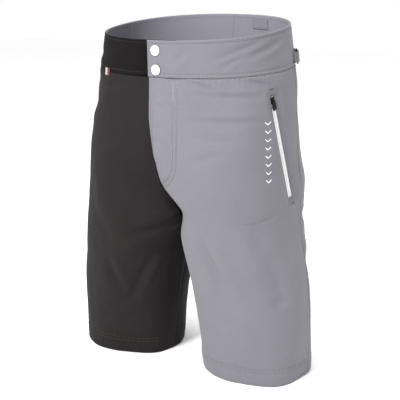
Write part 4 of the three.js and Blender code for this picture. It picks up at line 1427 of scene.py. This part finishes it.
    def label(self, name: str, side: Side, arcs: tuple[float, float], heights: tuple[float, float],
              level: float, material: bpy.types.Material) -> None:
        """Woven label sewn on the band, with a raised border and no lettering.

        Args:
            name: CAD node that it stands for.
            side: Which side.
            arcs: Its edges' distances from the middle front, in millimetres.
            heights: Its lower and upper edge.
            level: Its level over the form.
            material: Its finish.
        """
        def layout(share: np.ndarray, height: np.ndarray) -> tuple[np.ndarray, np.ndarray]:
            """Lays out the places of the grid."""
            arc = arcs[0] + (arcs[1] - arcs[0]) * share
            bearing = np.array([FORM.bearing_of_arc(a, h) for a, h in zip(arc, height)])
            edge = np.minimum(np.minimum(arc - arcs[0], arcs[1] - arc),
                              np.minimum(height - heights[0], heights[1] - height))
            rise = level + 0.25 * np.exp(-(((edge - 1) / 0.6) ** 2))
            rise = rise - 0.2 * smooth((0.5 - edge) / 0.5)
            straight = FORM.band(bearing, height, side, rise)
            curved = FORM.skin(bearing, height, side, rise)
            on_band = (height > FORM.band_seam)[:, None]
            return np.where(on_band, straight, curved), np.column_stack([arc, height]) * MM

        piece = to_object(patch(40, np.linspace(*heights, 32), layout, flip=side is Side.RIGHT),
                          f"{name}_{material.name}", material, flat_map=True)
        thicken(piece, 0.4)
        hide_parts(name)
        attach(piece, "shorts")

    def labels(self) -> None:
        """Makes the side label, its white half, and the label inside the back."""
        heights = (FORM.band_seam - self.label_reach, FORM.band_seam + self.label_reach)
        self.label("side_label", Side.RIGHT, self.label_red_arcs, heights, self.label_level,
                   self.finishes.label_red)
        self.label("side_label", Side.RIGHT, self.label_white_arcs, heights, self.label_level,
                   self.finishes.label_white)
        full = float(sum(FORM.quarter_length(FORM.rim, half) for half in Half))
        far, near = self.back_label_runs
        low, high = self.back_label_drops
        self.label("back_label", Side.LEFT, (full - far, full - near),
                   (FORM.rim - low, FORM.rim - high), -self.depth - self.label_level,
                   self.finishes.label_grey)


# ------------------------------------------------------------------ zips
@dataclass
class Zip:
    """Zip whose seat comes from its slider's and pull's joints."""

    slide: str
    swing: str
    pin_level: float = 3.35
    slider_drop: float = 6.0
    slot: float = 0.7
    teeth: float = 2.6
    tape: float = 8.0
    tooth_pitch: float = 1.5
    tooth_at: float = 1.35
    tooth_size: tuple[float, float, float] = (1.75, 0.5, 0.72)

    def seat(self) -> Matrix:
        """Placement with X across, Y up the zip and Z out of the cloth.

        Returns:
            The placement in metres.
        """
        joints = {j["name"]: j for j in frame["joints"]}
        up = -Vector(joints[self.slide]["axis"]).normalized()
        across = -Vector(joints[self.swing]["axis"]).normalized()
        out = across.cross(up).normalized()
        origin = Vector(joints[self.swing]["pos_m"])
        origin = origin - out * self.pin_level * MM + up * self.slider_drop * MM
        turn = Matrix((across, up, out)).transposed().to_4x4()
        return Matrix.Translation(origin) @ turn

    def length(self, node: str) -> float:
        """Length of the zip, measured on one of its sides.

        Args:
            node: CAD node of the side.

        Returns:
            The length in millimetres.
        """
        up = self.seat().to_3x3().col[1]
        runs = [v.co.dot(up) for v in frame["nodes"][node].data.vertices]
        return (max(runs) - min(runs)) / MM

    def side(self, node: str, sign: int, tape: bpy.types.Material, coil: bpy.types.Material,
             slot: str) -> None:
        """Makes one side of the zip: a woven tape and its row of coil.

        Args:
            node: CAD node it stands for.
            sign: -1 or 1, its side of the seat.
            tape: Finish of the tape.
            coil: Finish of the coil.
            slot: Record slot; not used.
        """
        seat, length = self.seat(), self.length(node)

        def layout(share: np.ndarray, height: np.ndarray) -> tuple[np.ndarray, np.ndarray]:
            """Lays out the places of the grid."""
            x = sign * (self.slot + 0.3 + self.tape * share)
            z = 0.12 * np.exp(-(((share - 0.42) / 0.05) ** 2))
            points = np.column_stack([x, height, z]) * MM
            turn = np.array(seat.to_3x3())
            world = points @ turn.T + np.array(seat.translation)
            return world / MM, np.column_stack([x, height]) * MM

        bm = patch(16, np.linspace(-length + 0.3, -0.3, 90), layout, flip=sign < 0)
        piece = to_object(bm, f"{node}_tape", tape, flat_map=True)
        thicken(piece, 0.5, offset=0)
        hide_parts(node)
        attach(piece, "shorts")
        teeth = bmesh.new()
        for i in range(int((length - 2) / self.tooth_pitch)):
            y = -1.2 - (i + (0.5 if sign > 0 else 0)) * self.tooth_pitch
            place = Matrix.Translation(Vector((sign * self.tooth_at, y, 0)) * MM)
            size = Matrix.Diagonal((*(reach * MM for reach in self.tooth_size), 1))
            bmesh.ops.create_icosphere(teeth, subdivisions=2, radius=1.0,
                                       matrix=seat @ place @ size)
        coil_piece = to_object(teeth, f"{node}_coil", coil)
        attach(coil_piece, "shorts")

    def runner(self, slider: str, pull: str, material: bpy.types.Material, slot: str) -> None:
        """Makes the slider and the pull, with ribs on the pull's tab.

        Args:
            slider: CAD node and body of the slider.
            pull: CAD node of the pull.
            material: Their finish.
            slot: Record slot; not used.
        """
        bodies = {n: b for b, ns in frame["record"]["behaviour"]["bodies"].items() for n in ns}
        body = to_object(softened(slider, 0.22), f"{slider}_body", material)
        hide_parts(slider)
        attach(body, bodies[slider])
        bm = softened(pull, 0.28)
        ribs = bmesh.new()
        for i in range(3):
            y = -self.slider_drop - 6.5 - 2.2 * i
            add_block(ribs, (-3, y - 0.5, self.pin_level + 0.55),
                      (3, y + 0.5, self.pin_level + 0.95), 0.18)
        bmesh.ops.transform(ribs, matrix=self.seat(), verts=ribs.verts[:])
        held = bpy.data.meshes.new("ribs")
        ribs.to_mesh(held)
        ribs.free()
        bm.from_mesh(held)
        bpy.data.meshes.remove(held)
        tab = to_object(bm, f"{pull}_tab", material)
        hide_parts(pull)
        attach(tab, bodies[pull])


# ------------------------------------------------------------------ side pockets
@dataclass
class SidePocket:
    """White zip set in a stitched window, with the pocket bag behind it."""

    side: Side
    finishes: Finishes
    window: float = 10.8
    window_end: float = 2.0
    turn_in: float = 0.9
    slope: float = 15.0
    edge_level: float = 1.9
    row_inset: float = 3.0
    reach: float = 16.0
    lift: float = 5.0
    bag_width: float = 110.0
    bag_depth: float = 12.5

    @property
    def zip(self) -> Zip:
        """The pocket's zip."""
        word = self.side.word
        return Zip(f"pocket_{word}_zip_slide", f"pocket_{word}_pull_swing")

    def length(self) -> float:
        """Length of the zip in millimetres."""
        return self.zip.length(f"pocket_zip_front_side_{self.side.word}")

    def sink(self, points: np.ndarray) -> np.ndarray:
        """Draws the cloth round the window in towards the zip.

        Args:
            points: Places of the cloth in millimetres.

        Returns:
            The places, drawn in.
        """
        seat = self.zip.seat()
        turn, origin = np.array(seat.to_3x3()), np.array(seat.translation) / MM
        local = (points - origin) @ turn
        beyond = np.maximum(np.abs(local[:, 0]) - self.window / 2, 0) / self.slope
        end = self.window_end
        past = np.maximum(np.maximum(local[:, 1] - end, end - self.length() - local[:, 1]), 0)
        near = 1 - smooth(np.hypot(beyond, past / self.slope))
        level = local[:, 2]
        drawn = level + near * (self.edge_level - level)
        local[:, 2] = np.where(np.abs(level) < self.reach, drawn, level)
        return local @ turn.T + origin

    def cut_window(self, bm: bmesh.types.BMesh) -> None:
        """Cuts the window in the front's grid and turns its edge in.

        Args:
            bm: Grid of the front cloth, in metres.
        """
        seat = self.zip.seat()
        inverse = seat.inverted()
        half = self.window / 2
        top, bottom = self.window_end, -self.length() + self.window_end

        def near(point: Vector, room: float) -> bool:
            """Whether a point is within some room of the window."""
            p = inverse @ point / MM
            beside = abs(p.x) < half + room and abs(p.z) < self.reach
            return beside and bottom - room < p.y < top + room

        cuts = (
            ((-half, 0), (1, 0)), ((half, 0), (1, 0)), ((0, top), (0, 1)), ((0, bottom), (0, 1))
        )
        for corner, normal in cuts:
            faces = [f for f in bm.faces if near(f.calc_center_median(), 5)]
            edges = (e for f in faces for e in f.edges)
            corners = (v for f in faces for v in f.verts)
            geom = list({*faces, *edges, *corners})
            bmesh.ops.bisect_plane(
                bm, geom=geom, dist=1e-7,
                plane_co=seat @ (Vector((*corner, 0)) * MM),
                plane_no=seat.to_3x3() @ Vector((*normal, 0)),
            )
        inside = [f for f in bm.faces if near(f.calc_center_median(), 0)]
        bmesh.ops.delete(bm, geom=inside, context="FACES")
        rim = [e for e in bm.edges if e.is_boundary and all(near(v.co, 0.4) for v in e.verts)]
        made = bmesh.ops.extrude_edge_only(bm, edges=rim)["geom"]
        verts = [v for v in made if isinstance(v, bmesh.types.BMVert)]
        out = seat.to_3x3().col[2]
        bmesh.ops.translate(bm, verts=verts, vec=-out * self.turn_in * MM)
        bm.normal_update()

    def build(self, cloth: bpy.types.Object) -> None:
        """Makes the zip, the runner, the bag and the stitching round the window.

        Args:
            cloth: The front cloth that the pocket is in.
        """
        word = self.side.word
        made = self.zip
        sign = self.side.value
        for part, way in (("front", -sign), ("back", sign)):
            made.side(f"pocket_zip_{part}_side_{word}", way, self.finishes.tape_white,
                      self.finishes.coil_white, "zip_white")
        made.runner(f"pocket_slider_{word}", f"pocket_pull_{word}", self.finishes.plastic,
                    "plastic_black")
        self.sew(cloth)
        self.bag()
        log.info("pocket %s: zip %.0f mm", word, self.length())

    def sew(self, cloth: bpy.types.Object) -> None:
        """Sews a row round the window and a bar tack past each end.

        Args:
            cloth: The front cloth that the pocket is in.
        """
        seat = self.zip.seat()
        thread = Stitching(cloth, length=2.0, radius=0.24)
        x = self.window / 2 + self.row_inset
        top = self.window_end + self.row_inset
        bottom = -self.length() + self.window_end - self.row_inset
        corners = [(-x, top), (x, top), (x, bottom), (-x, bottom), (-x, top)]
        for a, b in zip(corners[:-1], corners[1:]):
            steps = max(2, int(math.dist(a, b) / 4))
            line = [
                np.array(seat @ (Vector((a[0] + (b[0] - a[0]) * i / steps,
                                         a[1] + (b[1] - a[1]) * i / steps, self.lift)) * MM)) / MM
                for i in range(steps + 1)
            ]
            thread.row(np.array(line))
        for y in (top + 6, bottom - 6):
            start, end = (Vector(seat @ (Vector((dx, y, self.lift)) * MM)) / MM for dx in (-4, 4))
            thread.tack(start, end)
        left = self.side is Side.LEFT
        thread.done(f"pocket_stitching_{self.side.word}", self.finishes.thread(self.side),
                    cloth_slot(self.side), carried=left)

    def bag(self) -> None:
        """Makes the pocket bag, a limp cloth behind the panel."""
        side = self.side
        node = f"pocket_bag_{side.word}"
        low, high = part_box(node)

        def layout(share: np.ndarray, height: np.ndarray) -> tuple[np.ndarray, np.ndarray]:
            """Lays out the places of the grid."""
            length = FORM.quarter_length(height, Half.FRONT)
            bearing = 89.7 - self.bag_width / length * 90 * (1 - share)
            edge = np.minimum(share, 1 - share) * self.bag_width
            billow = 1.4 * np.sin(share * 5 + height / 19) * smooth(edge / 12)
            points = FORM.skin(bearing, height, side, -self.bag_depth + billow)
            return points, np.column_stack([FORM.arc(bearing, height), height]) * MM

        heights = np.linspace(low.z / MM + 2, high.z / MM + 1, 90)
        bm = patch(60, heights, layout, flip=side is Side.RIGHT)
        material = self.finishes.facing if side is Side.LEFT else self.finishes.black
        piece = to_object(bm, f"{node}_cloth", material, flat_map=True)
        thicken(piece, 0.5)
        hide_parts(node)
        cloth_slot(side)
        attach(piece, "shorts")


# ------------------------------------------------------------------ fly
@dataclass
class Fly:
    """Flap facing, shield, zip and the two snaps of the closure."""

    finishes: Finishes
    facing_from: float = 5.0
    facing_to: float = 41.0
    facing_level: float = -0.5
    shield_half: float = 27.0
    snap_x: float = 3.5
    snap_drops: tuple[float, float] = (16.0, 47.0)
    cap_radius: float = 7.8
    cap_level: float = 2.1
    cap_height: float = 2.1

    def facing(self) -> None:
        """Makes the cloth that lines the flap."""
        def layout(share: np.ndarray, height: np.ndarray) -> tuple[np.ndarray, np.ndarray]:
            """Lays out the places of the grid."""
            x = self.facing_from + (self.facing_to - self.facing_from) * share
            bearing = x / FORM.quarter_length(height, Half.FRONT) * 90
            level = self.facing_level + 0.15 * np.sin(height / 8) * smooth(share * 4)
            return (FORM.skin(bearing, height, Side.LEFT, level),
                    np.column_stack([x, height]) * MM)

        bm = patch(24, np.linspace(347, 481, 70), layout)
        piece = to_object(bm, "fly_facing_cloth", self.finishes.facing, flat_map=True)
        thicken(piece, 0.4)
        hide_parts("fly_flap_facing")
        FLAP_FOLD.carry(piece)

    def shield(self) -> None:
        """Makes the shield behind the zip, with a bound edge."""
        seat = self.zip.seat()
        turn = np.array(seat.to_3x3())
        length = self.zip.length("fly_zip_left_side")

        def layout(share: np.ndarray, height: np.ndarray) -> tuple[np.ndarray, np.ndarray]:
            """Lays out the places of the grid."""
            x = -self.shield_half + 2 * self.shield_half * share
            edge = np.minimum(x + self.shield_half, self.shield_half - x)
            z = -3.0 + 0.3 * np.exp(-(((edge - 2) / 1.5) ** 2)) + 0.25 * np.sin(height / 11)
            local = np.column_stack([x, height, z]) * MM
            world = local @ turn.T + np.array(seat.translation)
            return world / MM, np.column_stack([x, height]) * MM

        bm = patch(40, np.linspace(-length - 8, 3, 80), layout)
        piece = to_object(bm, "fly_shield_cloth", self.finishes.black, flat_map=True)
        thicken(piece, 0.8)
        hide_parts("fly_shield")
        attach(piece, "shorts")

    @property
    def zip(self) -> Zip:
        """The fly's zip."""
        return Zip("fly_zip_slide", "fly_pull_swing")

    def snap_seat(self, drop: float) -> Matrix:
        """Placement of a snap on the band, Z out of the cloth.

        Args:
            drop: Distance under the rim in millimetres.

        Returns:
            The placement in metres.
        """
        bearing = FORM.bearing_at_x(self.snap_x, np.array([FORM.rim]))
        height = FORM.rim - drop
        points = [
            Vector(FORM.band(bearing, np.array([h]), Side.LEFT, np.array([0.0]))[0])
            for h in (height, FORM.band_seam, FORM.rim)
        ]
        up = (points[2] - points[1]).normalized()
        across = Vector((1, 0, 0))
        across = (across - up * across.dot(up)).normalized()
        out = across.cross(up)
        return Matrix.Translation(points[0] * MM) @ Matrix((across, up, out)).transposed().to_4x4()

    def snaps(self) -> None:
        """Makes the four pieces of each snap."""
        for word, drop in zip(("upper", "lower"), self.snap_drops):
            seat = self.snap_seat(drop)
            r, base, top = self.cap_radius, self.cap_level, self.cap_level + self.cap_height
            dome = [
                (r - 2.4 + 2.4 * math.cos(a), base + 0.5 + (self.cap_height - 0.5) * math.sin(a))
                for a in np.linspace(0, math.pi / 2, 7)
            ]
            cap = [(0, -1.05), (1.5, -1.05), (1.5, base), (r - 0.3, base), (r, base + 0.2), *dome,
                   (4.2, top - 0.02), (3.6, top - 0.35), (2.0, top - 0.42), (0, top - 0.44)]
            rows = (
                (f"snap_cap_{word}", cap, "flap", self.finishes.enamel, "snap_white"),
                (f"snap_socket_{word}",
                 [(2.6, -3.45), (4.7, -3.5), (5.2, -3.1), (5.2, -1.7), (4.6, -1.2), (2.6, -1.2),
                  (2.6, -3.45)], "flap", self.finishes.metal, "metal"),
                (f"snap_stud_{word}",
                 [(0, -7.75), (1.5, -7.75), (1.5, -4.4), (4.1, -4.4), (4.4, -4.1), (4.1, -3.8),
                  (1.9, -3.8), (2.1, -3.2), (2.0, -2.2), (1.5, -1.7), (0, -1.6)],
                 "shorts", self.finishes.metal, "metal"),
                (f"snap_post_{word}",
                 [(0, -8.8), (4.3, -8.8), (4.6, -8.5), (4.6, -8.1), (4.3, -7.9), (0, -7.9)],
                 "shorts", self.finishes.metal, "metal"),
            )
            for node, profile, body, material, slot in rows:
                piece = to_object(turned(profile, seat), f"{node}_turned", material)
                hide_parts(node)
                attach(piece, body)

    def build(self) -> None:
        """Makes every piece of the closure."""
        self.facing()
        self.shield()
        for node, sign in (("fly_zip_left_side", 1), ("fly_zip_right_side", -1)):
            self.zip.side(node, sign, self.finishes.tape_black, self.finishes.coil_black,
                          "zip_black")
        self.zip.runner("fly_zip_slider", "fly_zip_pull", self.finishes.metal, "metal")
        self.snaps()
        log.info("fly: zip %.0f mm", self.zip.length("fly_zip_left_side"))


# ------------------------------------------------------------------ waist adjusters
@dataclass
class Adjuster:
    """Ring, anchor, strap and hook tab at one side of the band."""

    side: Side
    finishes: Finishes
    behind: float = 22.0
    rise: float = 11.0
    width: float = 15.0
    cloth: float = 1.1
    gap: float = 0.3
    bar: float = 1.2
    ring: float = 11.0
    anchor: float = 13.0
    strap: float = 52.0
    patch_cloth: float = 0.9

    @property
    def wrap(self) -> float:
        """Distance of the strap's middle from a bar's axis."""
        return self.bar * math.sqrt(2) + 2.5 * self.gap + self.cloth / 2

    @property
    def under(self) -> float:
        """Level of the strap's lower layer."""
        return self.gap + self.cloth / 2

    def ribbon(self, name: str, path: Sequence[tuple[float, float]], thickness: float,
               material: bpy.types.Material) -> bpy.types.Object:
        """Flat strip along a path of distance behind the ring and level over the band.

        Args:
            name: Piece name.
            path: Places of distance and level, in millimetres.
            thickness: Its thickness.
            material: Its finish.

        Returns:
            The piece.
        """
        places = np.array(path, float)
        runs = np.concatenate([[0], np.cumsum(np.linalg.norm(np.diff(places, axis=0), axis=1))])
        middle = FORM.band_seam + self.rise
        front = float(FORM.quarter_length(middle, Half.FRONT))
        back = float(FORM.quarter_length(middle, Half.BACK))

        def layout(share: np.ndarray, height: np.ndarray) -> tuple[np.ndarray, np.ndarray]:
            """Lays out the places of the grid."""
            run = share * runs[-1]
            distance = np.interp(run, runs, places[:, 0])
            level = np.interp(run, runs, places[:, 1])
            bearing = 90 + (self.behind + distance) / back * 90
            edge = self.width / 2 - np.abs(height - middle)
            level = level - 0.18 * smooth((0.9 - edge) / 0.9)
            return (FORM.band(bearing, height, self.side, level),
                    np.column_stack([front + run, height]) * MM)

        heights = np.linspace(middle - self.width / 2, middle + self.width / 2, 15)
        bm = patch(max(12, int(runs[-1] / 0.8)), heights, layout, flip=self.side is Side.RIGHT)
        piece = to_object(bm, name, material, flat_map=True)
        thicken(piece, thickness, offset=0)
        return piece

    def fold(
        self, bar_at: float, way: int, upper: Sequence[tuple[float, float]], lower: float
    ) -> list[tuple[float, float]]:
        """Path of a strap round an upright bar: upper layer, bar, lower layer.

        Args:
            bar_at: Distance of the bar behind the ring's middle, in millimetres.
            way: 1 or -1, the direction in which both layers leave the bar.
            upper: Places of the upper layer, as distance from the bar and level.
            lower: Distance from the bar at which the lower layer ends.

        Returns:
            Places of distance and level.
        """
        level = self.under + self.wrap
        turn = [
            (bar_at + way * self.wrap * math.cos(a), level + self.wrap * math.sin(a))
            for a in np.linspace(math.pi / 2, 3 * math.pi / 2, 17)
        ]
        above = [(bar_at + way * d, at) for d, at in upper]
        return [*above, *turn, (bar_at + way * lower, self.under)]

    def build(self) -> None:
        """Makes the adjuster's five pieces."""
        word = self.side.word
        web = self.finishes.webbing(self.side)
        folded = self.under + self.cloth + self.gap
        tab_level = folded + self.patch_cloth + self.gap
        top = self.under + 2 * self.wrap
        bar = self.ring / 2
        end = bar + self.strap
        ring = to_object(softened(f"adjuster_ring_{word}", 0.7, 3), f"adjuster_ring_{word}_moulded",
                         self.finishes.plastic)
        anchor = self.ribbon(
            f"adjuster_anchor_{word}_web",
            self.fold(-bar, -1, [(self.anchor, folded), (self.anchor / 2, folded + 0.3),
                                 (2.5, top - 0.5)], self.anchor),
            self.cloth, web)
        strap = self.ribbon(f"adjuster_strap_{word}_web",
                            self.fold(bar, 1, [(1.6, top - 0.15)], self.strap + 6), self.cloth, web)
        tab = self.ribbon(
            f"adjuster_tab_{word}_web",
            [(bar + 1.9, top - 0.3), (bar + 3.6, top - 1.0), (bar + 5, tab_level + 0.5),
             (bar + 9, tab_level), (end, tab_level)], self.cloth, web)
        hook = self.ribbon(f"adjuster_hook_{word}_tape",
                           [(end - 20, folded - 0.1), (end - 2, folded - 0.1)],
                           self.patch_cloth, self.finishes.hook)
        rows = (
            (ring, f"adjuster_ring_{word}", "shorts", "plastic_black"),
            (anchor, f"adjuster_anchor_{word}", "shorts", cloth_slot(self.side)),
            (strap, f"adjuster_strap_{word}", "shorts", cloth_slot(self.side)),
            (tab, f"adjuster_tab_{word}", f"adjuster_tab_{word}", cloth_slot(self.side)),
            (hook, f"adjuster_hook_patch_{word}", f"adjuster_tab_{word}", "hook_tape_black"),
        )
        for piece, node, body, slot in rows:
            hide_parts(node)
            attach(piece, body)
        log.info("adjuster %s: strap %.0f mm", word, self.strap)


# ------------------------------------------------------------------ embroidery
@dataclass
class Motif:
    """Plain column of chevrons sewn in white beside the pocket."""

    cloth: bpy.types.Object
    finishes: Finishes
    top: tuple[float, float] = (186.0, 408.0)
    bottom: tuple[float, float] = (199.0, 320.0)
    count: int = 8
    arm: float = 5.0
    rise: float = 4.0

    def build(self) -> None:
        """Sews the chevrons."""
        thread = Stitching(self.cloth)
        for i in range(self.count):
            t = i / (self.count - 1)
            arc, height = (a + (b - a) * t for a, b in zip(self.top, self.bottom))
            for way in (-1, 1):
                places = [(arc, height), (arc + way * self.arm, height + self.rise)]
                bearings = np.array([FORM.bearing_of_arc(a, h) for a, h in places])
                heights = np.array([h for _, h in places])
                start, end = (Vector(p) for p in FORM.skin(bearings, heights, Side.LEFT, 0))
                thread.tack(start, end, width=1.7, pitch=0.42)
        thread.done("thigh_chevrons", self.finishes.thread_white, "zip_white", carried=True)


# ------------------------------------------------------------------ studio
@dataclass
class Studio:
    """Floor, lights and camera."""

    yaw: float = 33.5
    elevation: float = 13.3
    distance: float = 1.506
    target: float = 0.2706
    light_target: float = 0.28
    view_angle: float = 24.6
    roll: float = -0.3
    shift: tuple[float, float] = (0.0122, -0.0143)

    def floor(self) -> None:
        """Makes the pale floor."""
        bm = bmesh.new()
        bmesh.ops.create_grid(bm, x_segments=1, y_segments=1, size=6.0)
        finish = Solid("studio_white", (0.98, 0.98, 0.98), 0.9)
        piece = to_object(bm, "studio_floor", finish.material())

    def light(self, name: str, place: Sequence[float], size: float, power: float) -> None:
        """Adds a soft area light that faces the shorts.

        Args:
            name: Its name.
            place: Its position in metres.
            size: Its width in metres.
            power: Its power in watts.
        """
        data = bpy.data.lights.new(name, "AREA")
        data.size = size
        data.energy = power
        lamp = bpy.data.objects.new(name, data)
        bpy.context.scene.collection.objects.link(lamp)
        lamp.location = place
        aim = Vector((0, 0, self.light_target)) - Vector(place)
        lamp.rotation_euler = aim.to_track_quat("-Z", "Y").to_euler()

    def build(self) -> None:
        """Makes the floor, the world, the lights and the camera."""
        self.floor()
        scene = bpy.context.scene
        world = bpy.data.worlds.new("studio_world")
        world.use_nodes = True
        world.node_tree.nodes["Background"].inputs[0].default_value = (1, 1, 1, 1)
        world.node_tree.nodes["Background"].inputs[1].default_value = 1.0
        scene.world = world
        scene.view_settings.view_transform = "Standard"
        self.light("key", (-0.2, -1.9, 2.5), 0.7, 88)
        self.light("top", (-0.2, 0.5, 2.6), 1.2, 30)
        a, e = math.radians(self.yaw), math.radians(self.elevation)
        back = Vector((math.sin(a) * math.cos(e), -math.cos(a) * math.cos(e), math.sin(e)))
        data = bpy.data.cameras.new("camera")
        data.angle = math.radians(self.view_angle)
        data.shift_x, data.shift_y = self.shift
        camera = bpy.data.objects.new("camera", data)
        scene.collection.objects.link(camera)
        camera.location = Vector((0, 0, self.target)) + back * self.distance
        look = (-back).to_track_quat("-Z", "Y").to_matrix().to_4x4()
        turn = Matrix.Rotation(math.radians(self.roll), 4, "Z")
        camera.rotation_euler = (look @ turn).to_euler()
        scene.camera = camera


def main() -> None:
    """Builds the shorts and the studio."""
    logging.basicConfig(level=logging.INFO, format="%(name)s: %(message)s")
    Studio().build()
    finishes = Finishes()
    pockets = [SidePocket(side, finishes) for side in Side]
    legs = LegCloths(finishes)
    legs.build(pockets)
    for pocket in pockets:
        pocket.build(legs.pieces[pocket.side, Half.FRONT])
    Motif(legs.pieces[Side.LEFT, Half.FRONT], finishes).build()
    legs.sew()
    legs.tapes()
    band = Waistband(finishes)
    band.build()
    band.labels()
    Fly(finishes).build()
    for side in Side:
        Adjuster(side, finishes).build()


if __name__ == "__main__":
    main()
